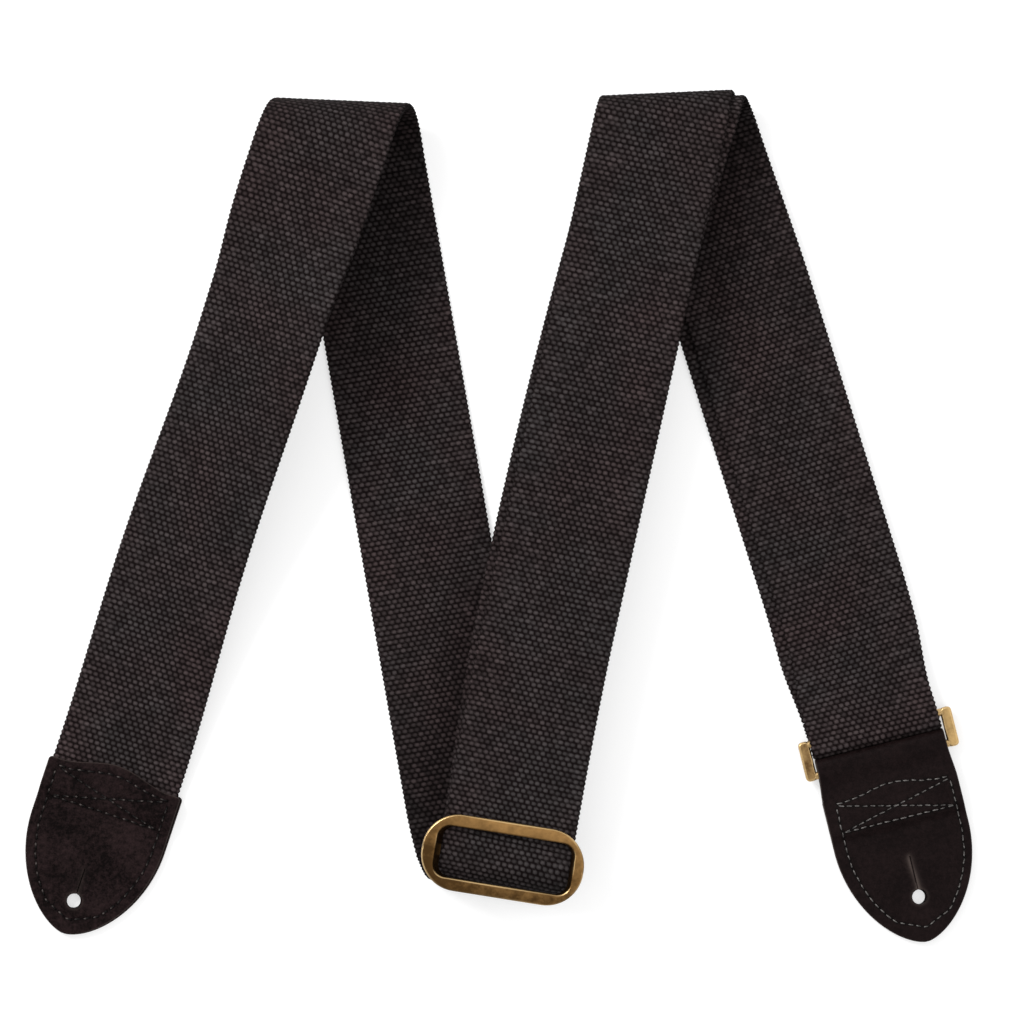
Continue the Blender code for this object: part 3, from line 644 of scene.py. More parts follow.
def webbing_material(name):
    """Cotton crowns with painted highlights on their tops over gaps painted dark as shade, with fibres,
    uneven dye and a faint sheen.
    """
    made, tree, shader = node_material(name)
    yarn = tree.nodes.new("ShaderNodeCombineXYZ")
    tree.links.new(maths(tree, "MULTIPLY", attribute(tree, "across"), 2.2), yarn.inputs[0])
    tree.links.new(attribute(tree, "along"), yarn.inputs[1])
    fibres = noise(tree, yarn.outputs[0], 2600.0, 3.0, 0.6)
    dye = noise(tree, object_coordinates(tree), 45.0, 3.0)
    tint = noise(tree, object_coordinates(tree), 28.0, 2.0)
    crown = ramp(tree, tint, ((0.35, WEB_BROWN), (0.65, WEB_GREY)))
    steps = ((0.10, (0.02, 0.02, 0.02)), (0.55, (0.27, 0.27, 0.27)), (1.0, (1.0, 1.0, 1.0)))
    # Painted shade in the gaps and painted highlights on the crown tops
    lit = ramp(tree, attribute(tree, "crown"), steps)
    # shade holds each crown's own tone and the painted shade near the folds and on steep slopes
    own = scaled(tree, attribute(tree, "shade"), 0.25, 1.0)
    uneven = scaled(tree, dye, 0.5, 0.75)
    fluff = scaled(tree, fibres, 1.5, 0.25)
    strength = maths(tree, "MULTIPLY", maths(tree, "MULTIPLY", own, uneven), fluff)
    shown = mix(tree, lit, WEB_GAP_PAINTED_SHADE, crown)
    colour = mix(tree, 1.0, shown, strength, "MULTIPLY")
    tree.links.new(colour, shader.inputs["Base Color"])
    set_inputs(shader, Roughness=0.85, Specular_IOR_Level=0.06, Sheen_Weight=0.02, Sheen_Roughness=0.45)
    set_inputs(shader, Sheen_Tint=(0.85, 0.68, 0.66, 1.0))
    bump(tree, shader, fibres, 0.00012, 0.8)
    return made


def leather_material(name, dark, light, gloss, roughness):
    """Dark leather: a fine nap, mottled, paler on its cut rims, with painted highlights along its slit
    ridges, and painted black as shade in its needle holes.
    """
    made, tree, shader = node_material(name)
    place = object_coordinates(tree)
    nap = noise(tree, place, 1500.0, 5.0, 0.65)
    mottle = noise(tree, place, 75.0, 4.0, 0.6)
    brushed = noise(tree, place, 520.0, 3.0, 0.6)
    coarse = maths(tree, "ADD", scaled(tree, mottle, 0.34, 0.0), scaled(tree, brushed, 0.34, 0.0))
    spread = maths(tree, "ADD", coarse, scaled(tree, nap, 0.32, 0.0))
    base = ramp(tree, spread, ((0.42, dark), (0.60, light)))
    worn_and_highlit = mix(tree, attribute(tree, "rim"), base, LEATHER_RIM_AND_HIGHLIGHT)
    pitted = mix(tree, attribute(tree, "pit"), worn_and_highlit, LEATHER_PIT)
    tree.links.new(pitted, shader.inputs["Base Color"])
    tree.links.new(scaled(tree, brushed, 0.25, roughness), shader.inputs["Roughness"])
    set_inputs(shader, Specular_IOR_Level=gloss, Sheen_Weight=0.01, Sheen_Roughness=0.5)
    grain = maths(tree, "ADD", scaled(tree, nap, 0.6, 0.0), brushed)
    bump(tree, shader, grain, 0.00022, 0.7)
    return made


def brass_material(name, dull, bright):
    """Antique brass with a cloudy patina: dull and brown where painted shade falls, paler where painted
    light falls, and rubbed bright along its edges, with painted highlights there.
    """
    made, tree, shader = node_material(name)
    place = object_coordinates(tree)
    cloud = noise(tree, place, 240.0, 4.0, 0.6)
    grit = noise(tree, place, 900.0, 4.0, 0.65)
    patina = maths(tree, "ADD", scaled(tree, cloud, 1.1, -0.55), scaled(tree, grit, 0.5, -0.25))
    # Painted light and shade: each piece's painted lightness moves it along the ramp
    spread = maths(tree, "ADD", patina, attribute(tree, "painted_lightness"))
    base = ramp(tree, spread, ((0.0, dull), (1.0, bright)))
    # Rubbed edges with painted highlights
    worn_and_highlit = mix(tree, attribute(tree, "rim"), base, BRASS_WORN_AND_HIGHLIGHT)
    tree.links.new(worn_and_highlit, shader.inputs["Base Color"])
    set_inputs(shader, Metallic=1.0)
    tree.links.new(scaled(tree, grit, 0.25, 0.26), shader.inputs["Roughness"])
    bump(tree, shader, grit, 0.00004, 0.5)
    return made


def thread_material(name, dark, light, painted_glint):
    """Waxed twisted thread, with a painted glint: a pale spot near one end of each stitch."""
    made, tree, shader = node_material(name)
    place = object_coordinates(tree)
    fibres = noise(tree, place, 3000.0, 3.0)
    uneven = noise(tree, place, 300.0, 2.0)
    spread = maths(tree, "ADD", maths(tree, "MULTIPLY", fibres, 0.5), maths(tree, "MULTIPLY", uneven, 0.5))
    base = ramp(tree, spread, ((0.38, dark), (0.62, light)))
    # Painted glint
    tree.links.new(mix(tree, attribute(tree, "painted_glint"), base, painted_glint), shader.inputs["Base Color"])
    set_inputs(shader, Roughness=0.7, Specular_IOR_Level=0.15)
    bump(tree, shader, fibres, 0.0001, 0.8)
    return made


WEBBING = webbing_material("webbing")
LEATHER_A = leather_material("leather_tab_a", (0.0028, 0.0016, 0.0016), (0.0195, 0.0112, 0.0115), 0.04, 0.62)
LEATHER_B = leather_material("leather_tab_b", (0.0040, 0.0018, 0.0018), (0.0105, 0.0056, 0.0056), 0.05, 0.34)
SLIDER_BRASS = brass_material("antique_brass", (0.070, 0.036, 0.012), (0.36, 0.20, 0.070))
RING_BRASS = brass_material("ring_brass", (0.12, 0.066, 0.026), (0.60, 0.40, 0.17))
BLACK_THREAD = thread_material(
    "black_thread", (0.0012, 0.0010, 0.0010), (0.0045, 0.0035, 0.0035), (0.085, 0.070, 0.066)
)
GREY_THREAD = thread_material("grey_thread", (0.022, 0.020, 0.019), (0.14, 0.13, 0.125), (0.20, 0.19, 0.18))


# ---------------------------------------------------------------- webbing pieces

def finish_webbing(node):
    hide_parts(node)


def build_webbing():
    """Every stretch of the one long webbing, in its order from tab A; each but the left fold goes with its
    body.
    """
    front_end = FRONT_LENGTH - TAB_LENGTH + WEB_IN_TAB
    left, bottom, right = LEFT_FOLD_REACH, BOTTOM_FOLD_REACH, RIGHT_FOLD_REACH
    to_bottom = BACK_LENGTH
    to_right = to_bottom + MIDDLE_LENGTH
    runs = [
        ("left_front_run", left_front_point, -front_end, -left, 0, "laid", "left_back_run"),
        ("left_fold", left_fold_point, -left, left, 0, "folded", "left_back_run"),
        ("left_back_run", left_back_point, left, to_bottom - bottom, 0, "laid", "floor"),
        ("bottom_fold", bottom_fold_point, -bottom, bottom, to_bottom, "folded", "floor"),
        ("middle_run", middle_point, bottom, MIDDLE_LENGTH - right, to_bottom, "laid", "tail_middle_run"),
        ("right_fold", right_fold_point, -right, right, to_right, "folded", "floor"),
        ("right_run", right_main_point, right, RING_LOOP_START, to_right, "laid", "floor"),
    ]
    for node, point, first, last, offset, held, under in runs:
        piece = stretch("web_" + node, point, first, last, offset, WEBBING)
        finish_webbing(node)
        if node == "left_fold":
            continue
        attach(piece, "front_end" if node == "left_front_run" else "strap")
    ring_end = build_ring_loop(to_right + RING_LOOP_START)
    build_tail(ring_end)


def loop_grid(profile, start):
    """A short loop's (s, z) places, its along and across places, and its length."""
    length = along_profile(profile, 8)[2]
    first = round(start / PICK)
    picks = round(length / PICK)
    rows = picks * ROWS_PER_PICK
    s, z, _ = along_profile(profile, rows)
    along = (first + np.linspace(0, picks, rows + 1))[:, None] * PICK
    return s, z, along, across_places()[None, :], length


def build_ring_loop(start):
    """The webbing round the ring's upper bar. Returns the length along the webbing at its end."""
    profile, centre = ring_loop_profile()
    s, z, along, across, length = loop_grid(profile, start)
    x = scalloped(along, across)
    turned = np.linspace(0, 1, len(s))[:, None]
    under = turned < 0.35
    side = np.clip((turned - 0.35) / 0.1, -1, 1)
    nearest = np.where(under, RING_LOOP_START, RING_LOOP_END)
    skew = math.tan(RING_TILT) * smooth((s - nearest) / (centre[0] - 4 * MM - nearest))
    shift = main_shift(s) * side - right_bow(s)
    middle = flat_point(RIGHT_TURN, RIGHT_DOWN, s - x * skew, x + shift, z)
    piece = ribbon("web_ring_loop", middle, along, across, WEBBING)
    finish_webbing("ring_loop")
    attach(piece, "strap")
    return along[-1, 0]


def build_tail(ring_end):
    """The tail: back up the right run, round the fold inside it and down to the slider."""
    total = ring_end + RING_LOOP_END
    right = RIGHT_FOLD_REACH
    slider_end = -(MIDDLE_LENGTH - SLIDER_PLACE - TAIL_LOOP_END)
    runs = [
        ("tail_right_run", right_tail_point, right, RING_LOOP_END, "laid", "right_run"),
        ("tail_right_fold", tail_fold_point, -right, right, "folded", "right_run"),
        ("tail_middle_run", middle_tail_point, slider_end, -right, "laid", "slider"),
    ]
    for node, point, first, last, held, under in runs:
        piece = stretch("web_" + node, point, first, last, total, WEBBING, turned=True)
        finish_webbing(node)
        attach(piece, "strap")
        if node == "tail_middle_run":
            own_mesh(piece)
    build_tail_loop(total - slider_end)


def build_tail_loop(start):
    t, z, along, across, length = loop_grid(tail_loop_profile(), start)
    x = scalloped(along, across)
    past = smooth(t / TAIL_LOOP_END)
    turned = x * math.tan(SLIDER_TILT) * (1 - past)
    side = x - SLIDER_SIDE + TAIL_SHIFT_AT_SLIDER * past + bottom_drift(SLIDER_PLACE + t)
    middle = flat_point(slider_centre(), MIDDLE_UP, t + turned, side, z)
    piece = ribbon("web_tail_loop", middle, along, across, WEBBING)
    finish_webbing("tail_loop")
    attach(piece, "slider")


def bend_left_fold():
    """Bakes the left fold's placement into its mesh."""
    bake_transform(bpy.data.objects["web_left_fold"])


# ---------------------------------------------------------------- leather tabs

def tab_half(t):
    left = np.clip(1 - t / TAB_SHOULDER, 0, 1)
    return TAB_HALF * (1 - left * left) ** TAB_TIP_POWER


def ogee(c):
    return OGEE_RISE * 0.5 * (1 + np.cos(math.pi * np.minimum(np.abs(c) * 1.15, 1.0)))


def step_height(low, high, start):
    return lambda t: low + (high - low) * smooth((t - start) / STEP_LENGTH)


def tab_frame(tip, inward):
    """Turns a tab's own (t, x, z) arrays into points: t from the tip and x to the right of inward."""
    return lambda t, x, z: flat_point(tip, inward, t, x, z)


def edge_line(last):
    """The seam that follows the rounded edge, as (t, x) pairs from one side round the tip."""
    share = np.linspace(0, 1, 60)
    t = EDGE_INSET + 1.6 * MM + (last - EDGE_INSET - 1.6 * MM) * share**1.4
    half = np.maximum(tab_half(t) - EDGE_INSET * (1 + 0.5 * (1 - share) ** 3), 0.0)
    x = half * np.minimum(share * 6, 1.0)
    left = np.stack((t, -x), axis=-1)[::-1]
    right = np.stack((t, x), axis=-1)[1:]
    return np.concatenate((left, right))


def cross_lines(top, bottom, inset):
    """The seams across a tab: along its shaped edge, a lower line and a cross between the two."""
    half = 22.5 * MM
    corner = half - inset
    c = np.linspace(-1, 1, 40)
    shaped = np.stack((top + ogee(c) * 0.7, c * half), axis=-1)
    upper = top - 0.9 * MM
    return [
        shaped,
        np.array(((upper, corner), (bottom, -corner))),
        np.array(((bottom, -corner), (bottom, corner))),
        np.array(((bottom, corner), (upper, -corner))),
    ]


def stitch_ends(line, rng, pitch=STITCH_PITCH_A):
    """Pairs of (t, x) where each stitch on a seam goes in and comes out."""
    steps = np.linalg.norm(np.diff(line, axis=0), axis=1)
    travelled = np.concatenate(([0.0], np.cumsum(steps)))
    count = max(round(travelled[-1] / pitch), 1)
    pitch = travelled[-1] / count
    length = STITCH_SHARE * pitch
    pairs = []
    for index in range(count):
        middle = (index + 0.5) * pitch + rng.normal(0, 0.05 * MM)
        half = length / 2 * (1 + rng.normal(0, 0.05))
        ends = []
        for place in (middle - half, middle + half):
            spot = [np.interp(place, travelled, line[:, k]) for k in (0, 1)]
            ends.append(np.array(spot) + rng.normal(0, 0.09 * MM, 2))
        pairs.append(ends)
    return pairs


def distance_to(points_t, points_x, spots, reach):
    """A dark dot's strength at each vertex, from the nearest of the spots."""
    found = np.zeros(points_t.shape)
    for t, x in spots:
        far = (points_t - t) ** 2 + (points_x - x) ** 2
        found = np.maximum(found, np.exp(-far / reach**2))
    return found


def waves(t, x, seed):
    """Slow unevenness of a piece of leather, from -1 to 1."""
    rng = np.random.default_rng(seed)
    found = np.zeros(np.broadcast(t, x).shape)
    for _ in range(5):
        a, b = rng.uniform(-1, 1, 2) * 2 * math.pi / (22 * MM)
        found = found + np.sin(a * t + b * x + rng.uniform(0, 6)) / 5
    return found


def leather_ribbon(name, middle, t, x, rim_distance, pits, marks, seed, material):
    """A closed leather sheet on a grid of middle points.

    rim_distance is each point's distance from the cut edge; pits are (t, x) spots, painted dark as shade,
    and marks are the height of ridges on its upper side and the painted highlight along them.
    """
    normals = sheet_normals(middle)
    rounding = np.clip(1 - rim_distance / (0.55 * MM), 0, 1)
    fullness = np.sqrt(1 - rounding**2 * 0.96)
    # Painted shade: dark dots at the needle holes, where the surface also dips
    dot = distance_to(t, x, pits, NEEDLE_REACH)
    lower = LEATHER_HALF * fullness
    upper = lower - 0.30 * MM * dot + marks[0] + 0.10 * MM * waves(t, x, seed) * fullness
    layers = (middle + normals * upper[..., None], middle - normals * lower[..., None])
    made = closed_ribbon(name, layers, material)
    # rim: the paler cut edge, plus the painted highlight along the slit ridge and round the hole's lip
    rim = np.clip(1 - rim_distance / (0.5 * MM), 0, 1) * 0.55 + marks[1]
    add_values(made, "rim", two_layers(rim, rim))
    add_values(made, "pit", two_layers(dot, np.zeros(dot.shape)))
    return made


def uneven_steps(count, power=0.75):
    """Places from -1 to 1 that stand closer together towards both ends."""
    c = np.linspace(-1, 1, count)
    return np.sign(c) * (1 - (1 - np.abs(c)) ** (1 / power))


def tab_grid(edge, columns=140, rows=180):
    """t, x and distance from the rim over a tab blank."""
    c = uneven_steps(columns)[None, :]
    share = ((uneven_steps(rows) + 1) / 2)[:, None] ** 1.25
    first = 0.15 * MM
    t = first + (edge(c) - first) * share
    corner = np.clip(1 - (edge(c) - t) / TAB_CORNER, 0.0, 1.0)
    half = tab_half(t) - TAB_CORNER * (1 - np.sqrt(1 - corner**2 * 0.98))
    x = c * half
    slope = (tab_half(t + 0.1 * MM) - tab_half(t)) / (0.1 * MM)
    side = (half - np.abs(x)) / np.sqrt(1 + slope**2)
    rim = np.minimum(side, edge(c) - t)
    return t, x, np.minimum(rim, t)


def slit_marks(t, across, hole, side, slit, height, painted_brightness):
    """A raised ridge along a slit that runs inwards from a button hole, with a painted highlight along it
    and round the hole's lip.
    """
    x = across - side
    within = smooth((t - hole) / (2 * MM)) * smooth((hole + HOLE_RADIUS + slit + 2 * MM - t) / (4 * MM))
    wander = 0.35 * MM * np.sin((t - hole) / (3.1 * MM))
    ridge = np.exp(-((x - wander) / (1.5 * MM)) ** 2) * within
    line = np.exp(-((x - wander) / (0.8 * MM)) ** 2) * within
    around = np.hypot(t - hole, x)
    lip = np.exp(-((around - HOLE_RADIUS - 0.3 * MM) / (0.6 * MM)) ** 2)
    # The first value is real relief; the second is the painted highlight
    return height * ridge + 0.12 * MM * lip, painted_brightness * (0.35 * ridge + 0.65 * line) + 0.18 * lip


def cut_keyhole(piece, place, hole, side, slit, direction, slit_width):
    """Cuts the round button hole and its slit right through a piece."""
    centre = place(hole, side, 3 * MM)
    bpy.ops.mesh.primitive_cylinder_add(vertices=48, radius=HOLE_RADIUS, depth=20 * MM, location=centre)
    tools = [bpy.context.object]
    middle = place(hole + (HOLE_RADIUS + slit) / 2, side, 3 * MM)
    bpy.ops.mesh.primitive_cube_add(size=1, location=middle)
    cut = bpy.context.object
    cut.scale = (slit_width, slit + HOLE_RADIUS, 20 * MM)
    cut.rotation_euler.z = math.atan2(-direction[0], direction[1])
    tools.append(cut)
    for tool in tools:
        modifier = piece.modifiers.new("hole", "BOOLEAN")
        modifier.operation = "DIFFERENCE"
        modifier.object = tool
        modifier.solver = "EXACT"
    bpy.context.view_layer.update()
    graph = bpy.context.evaluated_depsgraph_get()
    mesh = bpy.data.meshes.new_from_object(piece.evaluated_get(graph))
    piece.modifiers.clear()
    piece.data = mesh
    mesh.shade_smooth()
    mesh.set_sharp_from_angle(angle=math.radians(50))
    for tool in tools:
        bpy.data.objects.remove(tool, do_unlink=True)


def leather_facts(piece, node, body):
    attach(piece, body)
    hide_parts(node)


def sew(seams, rng, pitch, side):
    """The stitches of each named seam, moved sideways by side, and where all of them go in and out."""
    stitches = {}
    for key, lines in seams.items():
        placed = [line + np.array((0.0, side)) for line in lines]
        stitches[key] = [pair for line in placed for pair in stitch_ends(line, rng, pitch)]
    return stitches, [end for pairs in stitches.values() for pair in pairs for end in pair]


def thread_facts(piece, node, body):
    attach(piece, body)
    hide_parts(node)


def build_tab_a():
    place = tab_frame(TAB_A_TIP, FRONT_UP)
    straight = TAB_LENGTH - OGEE_RISE
    web_end = TAB_LENGTH - WEB_IN_TAB
    raised = Z_WEB_IN_TAB + 1.0 * MM + GAP + LEATHER / 2
    height = step_height(Z_FRONT, raised, web_end - GAP - STEP_LENGTH)
    top = straight - 2.6 * MM
    seams = {"edge": [edge_line(top - 1.6 * MM)], "cross": cross_lines(top, top - 12 * MM, 1.4 * MM)}
    stitches, pits = sew(seams, np.random.default_rng(3), STITCH_PITCH_A, 0.0)
    t, x, rim = tab_grid(lambda c: straight + ogee(c))
    marks = slit_marks(t, x, HOLE_A, 0.0, SLIT_A, 0.10 * MM, 0.15)
    middle = place(t, x, height(t))
    front = leather_ribbon("tab_a_front", middle, t, x, rim, pits, marks, 11, LEATHER_A)
    t, x, rim = tab_grid(lambda c: straight + 0 * c, 90, 110)
    middle = place(t, x + BACK_OVERHANG, LEATHER / 2 + 0 * t)
    back = leather_ribbon("tab_a_back", middle, t, x, rim, [], NO_MARKS, 12, LEATHER_A)
    pieces = (
        (front, "tab_a_front_leather", 0.0, ["tab_a_back"]),
        (back, "tab_a_back_leather", -BACK_HOLE_SHIFT, ["floor"]),
    )
    for piece, node, side, rests in pieces:
        cut_keyhole(piece, place, HOLE_A, side, SLIT_A, FRONT_UP, SLIT_WIDTH_A)
        leather_facts(piece, node, "front_end")
    for key, pairs in stitches.items():
        thread = build_stitches(f"tab_a_{key}_stitches", pairs, place, height, BLACK_THREAD, THREAD_RADIUS_A)
        thread_facts(thread, f"tab_a_{key}_thread", "front_end")


def wrap_profile(height, sandwich):
    """(t, z) of the leather that turns round the ring's lower bar and comes back under itself."""
    radius = LEATHER_LOOP_RADIUS
    centre = (TAB_B_LENGTH + LOOP_OVERLAP - LEATHER / 2 - radius, Z_RING)
    upper = height(TAB_B_EDGE)
    t = np.linspace(0.15 * MM, TAB_B_EDGE - 1.5 * MM, 200)
    flat = np.stack((t, height(t)), axis=-1)
    rise_from = TAB_B_EDGE - 1.5 * MM
    rise_to = centre[0] - 1 * MM
    share = np.linspace(0.04, 1, 20)
    rising = np.stack((rise_from + (rise_to - rise_from) * share,
                       upper + (Z_RING + radius - upper) * smooth(share)), axis=-1)
    turn = arc(centre, radius, 90, -90, 24)
    low = Z_RING - radius
    fall_from = TAB_B_EDGE + 3.6 * MM
    fall_to = TAB_B_EDGE + 0.6 * MM
    share = np.linspace(0, 1, 10)
    falling = np.stack((fall_from + (fall_to - fall_from) * share,
                        low + (Z_FRONT - low) * smooth(share)), axis=-1)
    return np.concatenate((flat, rising, turn, falling, [(sandwich + 1 * MM, Z_FRONT)]))


def wrap_grid(t):
    """x and distance from the rim over tab B's wrap, at its places t along the tab."""
    c = uneven_steps(140)[None, :]
    neck = smooth((t - (TAB_B_EDGE - 8 * MM)) / (15 * MM))
    half = tab_half(t) * (1 - neck) + NECK_HALF * neck
    x = c * half
    slope = np.gradient(half[:, 0]) / np.maximum(np.abs(np.gradient(t[:, 0])), 0.2 * MM)
    rim = (half - np.abs(x)) / np.sqrt(1 + slope[:, None] ** 2)
    return x, np.minimum(rim, t + 0 * x)


def build_tab_b():
    inward = np.array((-math.sin(RING_HEADING), math.cos(RING_HEADING)))
    place = tab_frame(RING_CENTRE - inward * TAB_B_LENGTH, inward)
    straight = TAB_B_EDGE - OGEE_RISE
    sandwich = straight - 12 * MM
    height = step_height(Z_FRONT, Z_FRONT + LEATHER + GAP, sandwich - GAP - STEP_LENGTH)
    top = TAB_LENGTH - OGEE_RISE - 3.7 * MM
    seams = {"edge": [edge_line(top - 1.5 * MM)], "cross": cross_lines(top, top - 11.5 * MM, 0.4 * MM)}
    stitches, pits = sew(seams, np.random.default_rng(5), STITCH_PITCH_B, SEAM_B_SIDE)
    t, z, length = along_profile(wrap_profile(height, sandwich), 260)
    x, rim = wrap_grid(t)
    travelled = np.linspace(0, length, len(t))[:, None]
    grid_t, grid_x = np.broadcast_arrays(np.where(travelled < TAB_B_EDGE, t, 1.0), x)
    marks = slit_marks(grid_t, grid_x, HOLE_B, HOLE_B_SIDE, SLIT_B, 0.45 * MM, 0.85)
    middle = place(t, x, z)
    wrap = leather_ribbon("tab_b_wrap", middle, grid_t, grid_x, rim, pits, marks, 21, LEATHER_B)
    t, x, rim = tab_grid(lambda c: straight + ogee(c), 90, 110)
    middle = place(t, x, LEATHER / 2 + 0 * t)
    cover = leather_ribbon("tab_b_cover", middle, t, x, rim, [], NO_MARKS, 22, LEATHER_B)
    pieces = (
        (wrap, "tab_b_wrap_leather", length, HOLE_B_SIDE, ["tab_b_cover"]),
        (cover, "tab_b_cover_leather", TAB_B_EDGE, HOLE_B_SIDE - COVER_HOLE_SHIFT, ["floor"]),
    )
    for piece, node, long, side, rests in pieces:
        cut_keyhole(piece, place, HOLE_B, side, SLIT_B, inward, SLIT_WIDTH_B)
        leather_facts(piece, node, "tab_b")
    for key, pairs in stitches.items():
        thread = build_stitches(f"tab_b_{key}_stitches", pairs, place, height, GREY_THREAD, THREAD_RADIUS_B)
        thread_facts(thread, f"tab_b_{key}_thread", "tab_b")


# ---------------------------------------------------------------- stitches

def build_stitches(name, pairs, place, height, material, thickness, lift=LEATHER / 2 + 0.10 * MM):
    """Each stitch is a short thread that dips into the leather at both ends."""
    sides = 8
    lengthwise = 9
    points = []
    quads = []
    angle = np.linspace(0, 2 * math.pi, sides, endpoint=False)
    for pair in pairs:
        start, end = pair
        share = np.linspace(0, 1, lengthwise)
        t = start[0] + (end[0] - start[0]) * share
        x = start[1] + (end[1] - start[1]) * share
        arch = np.sin(math.pi * share)
        rise = (0.42 * arch**0.5 - 0.30) * MM
        line = place(t, x, height(t) + lift + rise)
        radius = thickness * (0.45 + 0.55 * arch**0.35)
        along = line[-1] - line[0]
        along = along / np.linalg.norm(along)
        beside = np.cross(along, (0, 0, 1))
        upright = np.cross(beside, along)
        base = len(points) * sides * lengthwise
        ring = beside * np.cos(angle)[:, None] + upright * np.sin(angle)[:, None]
        points.append(line[:, None, :] + ring[None, :, :] * radius[:, None, None])
        grid = base + np.arange(sides * lengthwise).reshape(lengthwise, sides)
        following = np.roll(grid, -1, axis=1)
        quads.append(np.stack((grid[:-1], following[:-1], following[1:], grid[1:]), axis=-1).reshape(-1, 4))
        for row, turn in ((0, 1), (-1, -1)):
            loop = grid[row][::-turn]
            caps = [(loop[0], loop[k], loop[k + 1], loop[k + 2]) for k in (1, 3, 5)]
            quads.append(np.array(caps))
    made = mesh_object(name, np.concatenate([p.reshape(-1, 3) for p in points]), quads, material)
    # Painted glint: a pale spot near the start of each stitch, stronger on some stitches than on others
    glint_spot = np.exp(-(((np.linspace(0, 1, lengthwise) - 0.22) / 0.17) ** 2))
    own = np.random.default_rng(4).uniform(0.15, 1.0, len(pairs))
    add_values(made, "painted_glint", np.repeat((own[:, None] * glint_spot[None, :]).ravel(), sides))
    return made


def build_tail_stitches():
    """The bar of stitches that closes the tail's end, on its underside."""
    near, far, half = 16 * MM, 22 * MM, 21 * MM
    corners = np.array(((near, -half), (near, half), (far, half), (far, -half), (near, -half)))
    rng = np.random.default_rng(9)
    pairs = [pair for a, b in zip(corners, corners[1:]) for pair in stitch_ends(np.array((a, b)), rng)]
    centre = slider_centre()
    z = Z_TAIL_MIDDLE - LAYER

    def place(t, x, z):
        return flat_point(centre, MIDDLE_UP, t, x + bottom_drift(SLIDER_PLACE + t) - SLIDER_SIDE, z)

    piece = build_stitches(
        "tail_end_stitches", pairs, place, lambda t: z + 0 * t, BLACK_THREAD, THREAD_RADIUS_A, -1.15 * MM
    )
    thread_facts(piece, "tail_stitching", "slider")


# ---------------------------------------------------------------- metal

def rounded_outline(length, width, radius, count, shift=(0.0, 0.0)):
    """A rectangle with rounded corners: the same number of points on each corner and side."""
    found = []
    for corner in range(4):
        side_x = 1 if corner in (0, 3) else -1
        side_y = 1 if corner in (0, 1) else -1
        centre = (side_x * (length / 2 - radius) + shift[0], side_y * (width / 2 - radius) + shift[1])
        found.append(arc(centre, radius, 90 * corner, 90 * corner + 90, count))
    points = []
    for corner, following in zip(found, found[1:] + found[:1]):
        points.append(corner)
        share = np.linspace(0, 1, 14)[1:-1, None]
        points.append(corner[-1] * (1 - share) + following[0] * share)
    return np.concatenate(points)


def section(bevel, thick, count=5):
    """(side, inset, height, edge) round a bar's rounded cross-section. side is 1 outside and 0 inside, and
    edge peaks on each rounded edge, where rubbed wear and painted highlights go.
    """
    found = []
    corners = ((1, 1, 0), (0, 1, 90), (0, -1, 180), (1, -1, 270))
    for side, up, first in corners:
        for angle in np.radians(np.linspace(first, first + 90, count)):
            inset = bevel * (math.cos(angle) - (1 if side else -1))
            z = up * (thick / 2 - bevel) + bevel * math.sin(angle)
            edge = math.sin(2 * (angle - math.radians(first)))
            found.append((side, inset, z, edge))
    return found


def frame_loop(name, outer, inner, inner_low, thick, bevel, matrix, material):
    """A closed frame between two outlines, with rounded edges that are rubbed bright and carry painted
    highlights.

    inner is the opening at the top and inner_low the one at the bottom. Its painted lightness is painted
    light
    and shade: lighter towards +y, darkest at the -x end and darker low down.
    """
    outward = (outer - inner) / np.linalg.norm(outer - inner, axis=1, keepdims=True)
    # Edges that face +y and -x are brighter: rubbed wear with painted highlights
    outer_wear_and_highlight = 0.55 - 0.25 * outward[:, 0] + 0.35 * outward[:, 1]
    inner_wear_and_highlight = np.clip(0.12 + 0.25 * outward[:, 0] - 0.80 * outward[:, 1], 0.0, 1.0)
    rings = []
    edges = []
    for side, inset, z, edge in section(bevel, thick):
        opening = inner if z > 0 else inner_low
        place = (outer if side else opening) + outward * inset
        rings.append(np.concatenate((place, np.full((len(place), 1), z)), axis=1))
        edges.append((outer_wear_and_highlight if side else inner_wear_and_highlight) * edge * (1.0 if z > 0 else 0.3))
    rows = np.stack(rings)
    grid = np.arange(rows.shape[0] * rows.shape[1]).reshape(rows.shape[:2])
    beside = np.roll(grid, -1, axis=1)
    above = np.roll(grid, -1, axis=0)
    corner = np.roll(beside, -1, axis=0)
    quads = np.stack((grid, above, corner, beside), axis=-1).reshape(-1, 4)
    points = rows.reshape(-1, 3)
    # Painted light and shade: lighter towards +y, darkest at the -x end and darker low down
    far = points[:, 0] / (SLIDER_LENGTH / 2)
    share = points[:, 1] / (SLIDER_WIDTH / 2) * 0.35 + far * 0.16 - 0.22 * far**2
    depth = np.clip(0.5 - points[:, 2] / thick, 0.0, 1.0)
    return metal_object(name, rows, [quads], matrix, material, edges, 0.45 + share - 0.8 * depth)


def moved(points, matrix):
    turn = np.array(matrix)
    return points @ turn[:3, :3].T + turn[:3, 3]


def metal_object(name, rows, faces, matrix, material, edges, painted_lightness):
    """A metal piece from its rings of points, where its edges are rubbed and carry painted highlights, and
    its painted lightness.
    """
    made = mesh_object(name, moved(rows.reshape(-1, 3), matrix), faces, material)
    made.data.set_sharp_from_angle(angle=math.radians(60))
    add_values(made, "rim", np.concatenate(edges))
    add_values(made, "painted_lightness", painted_lightness)
    return made


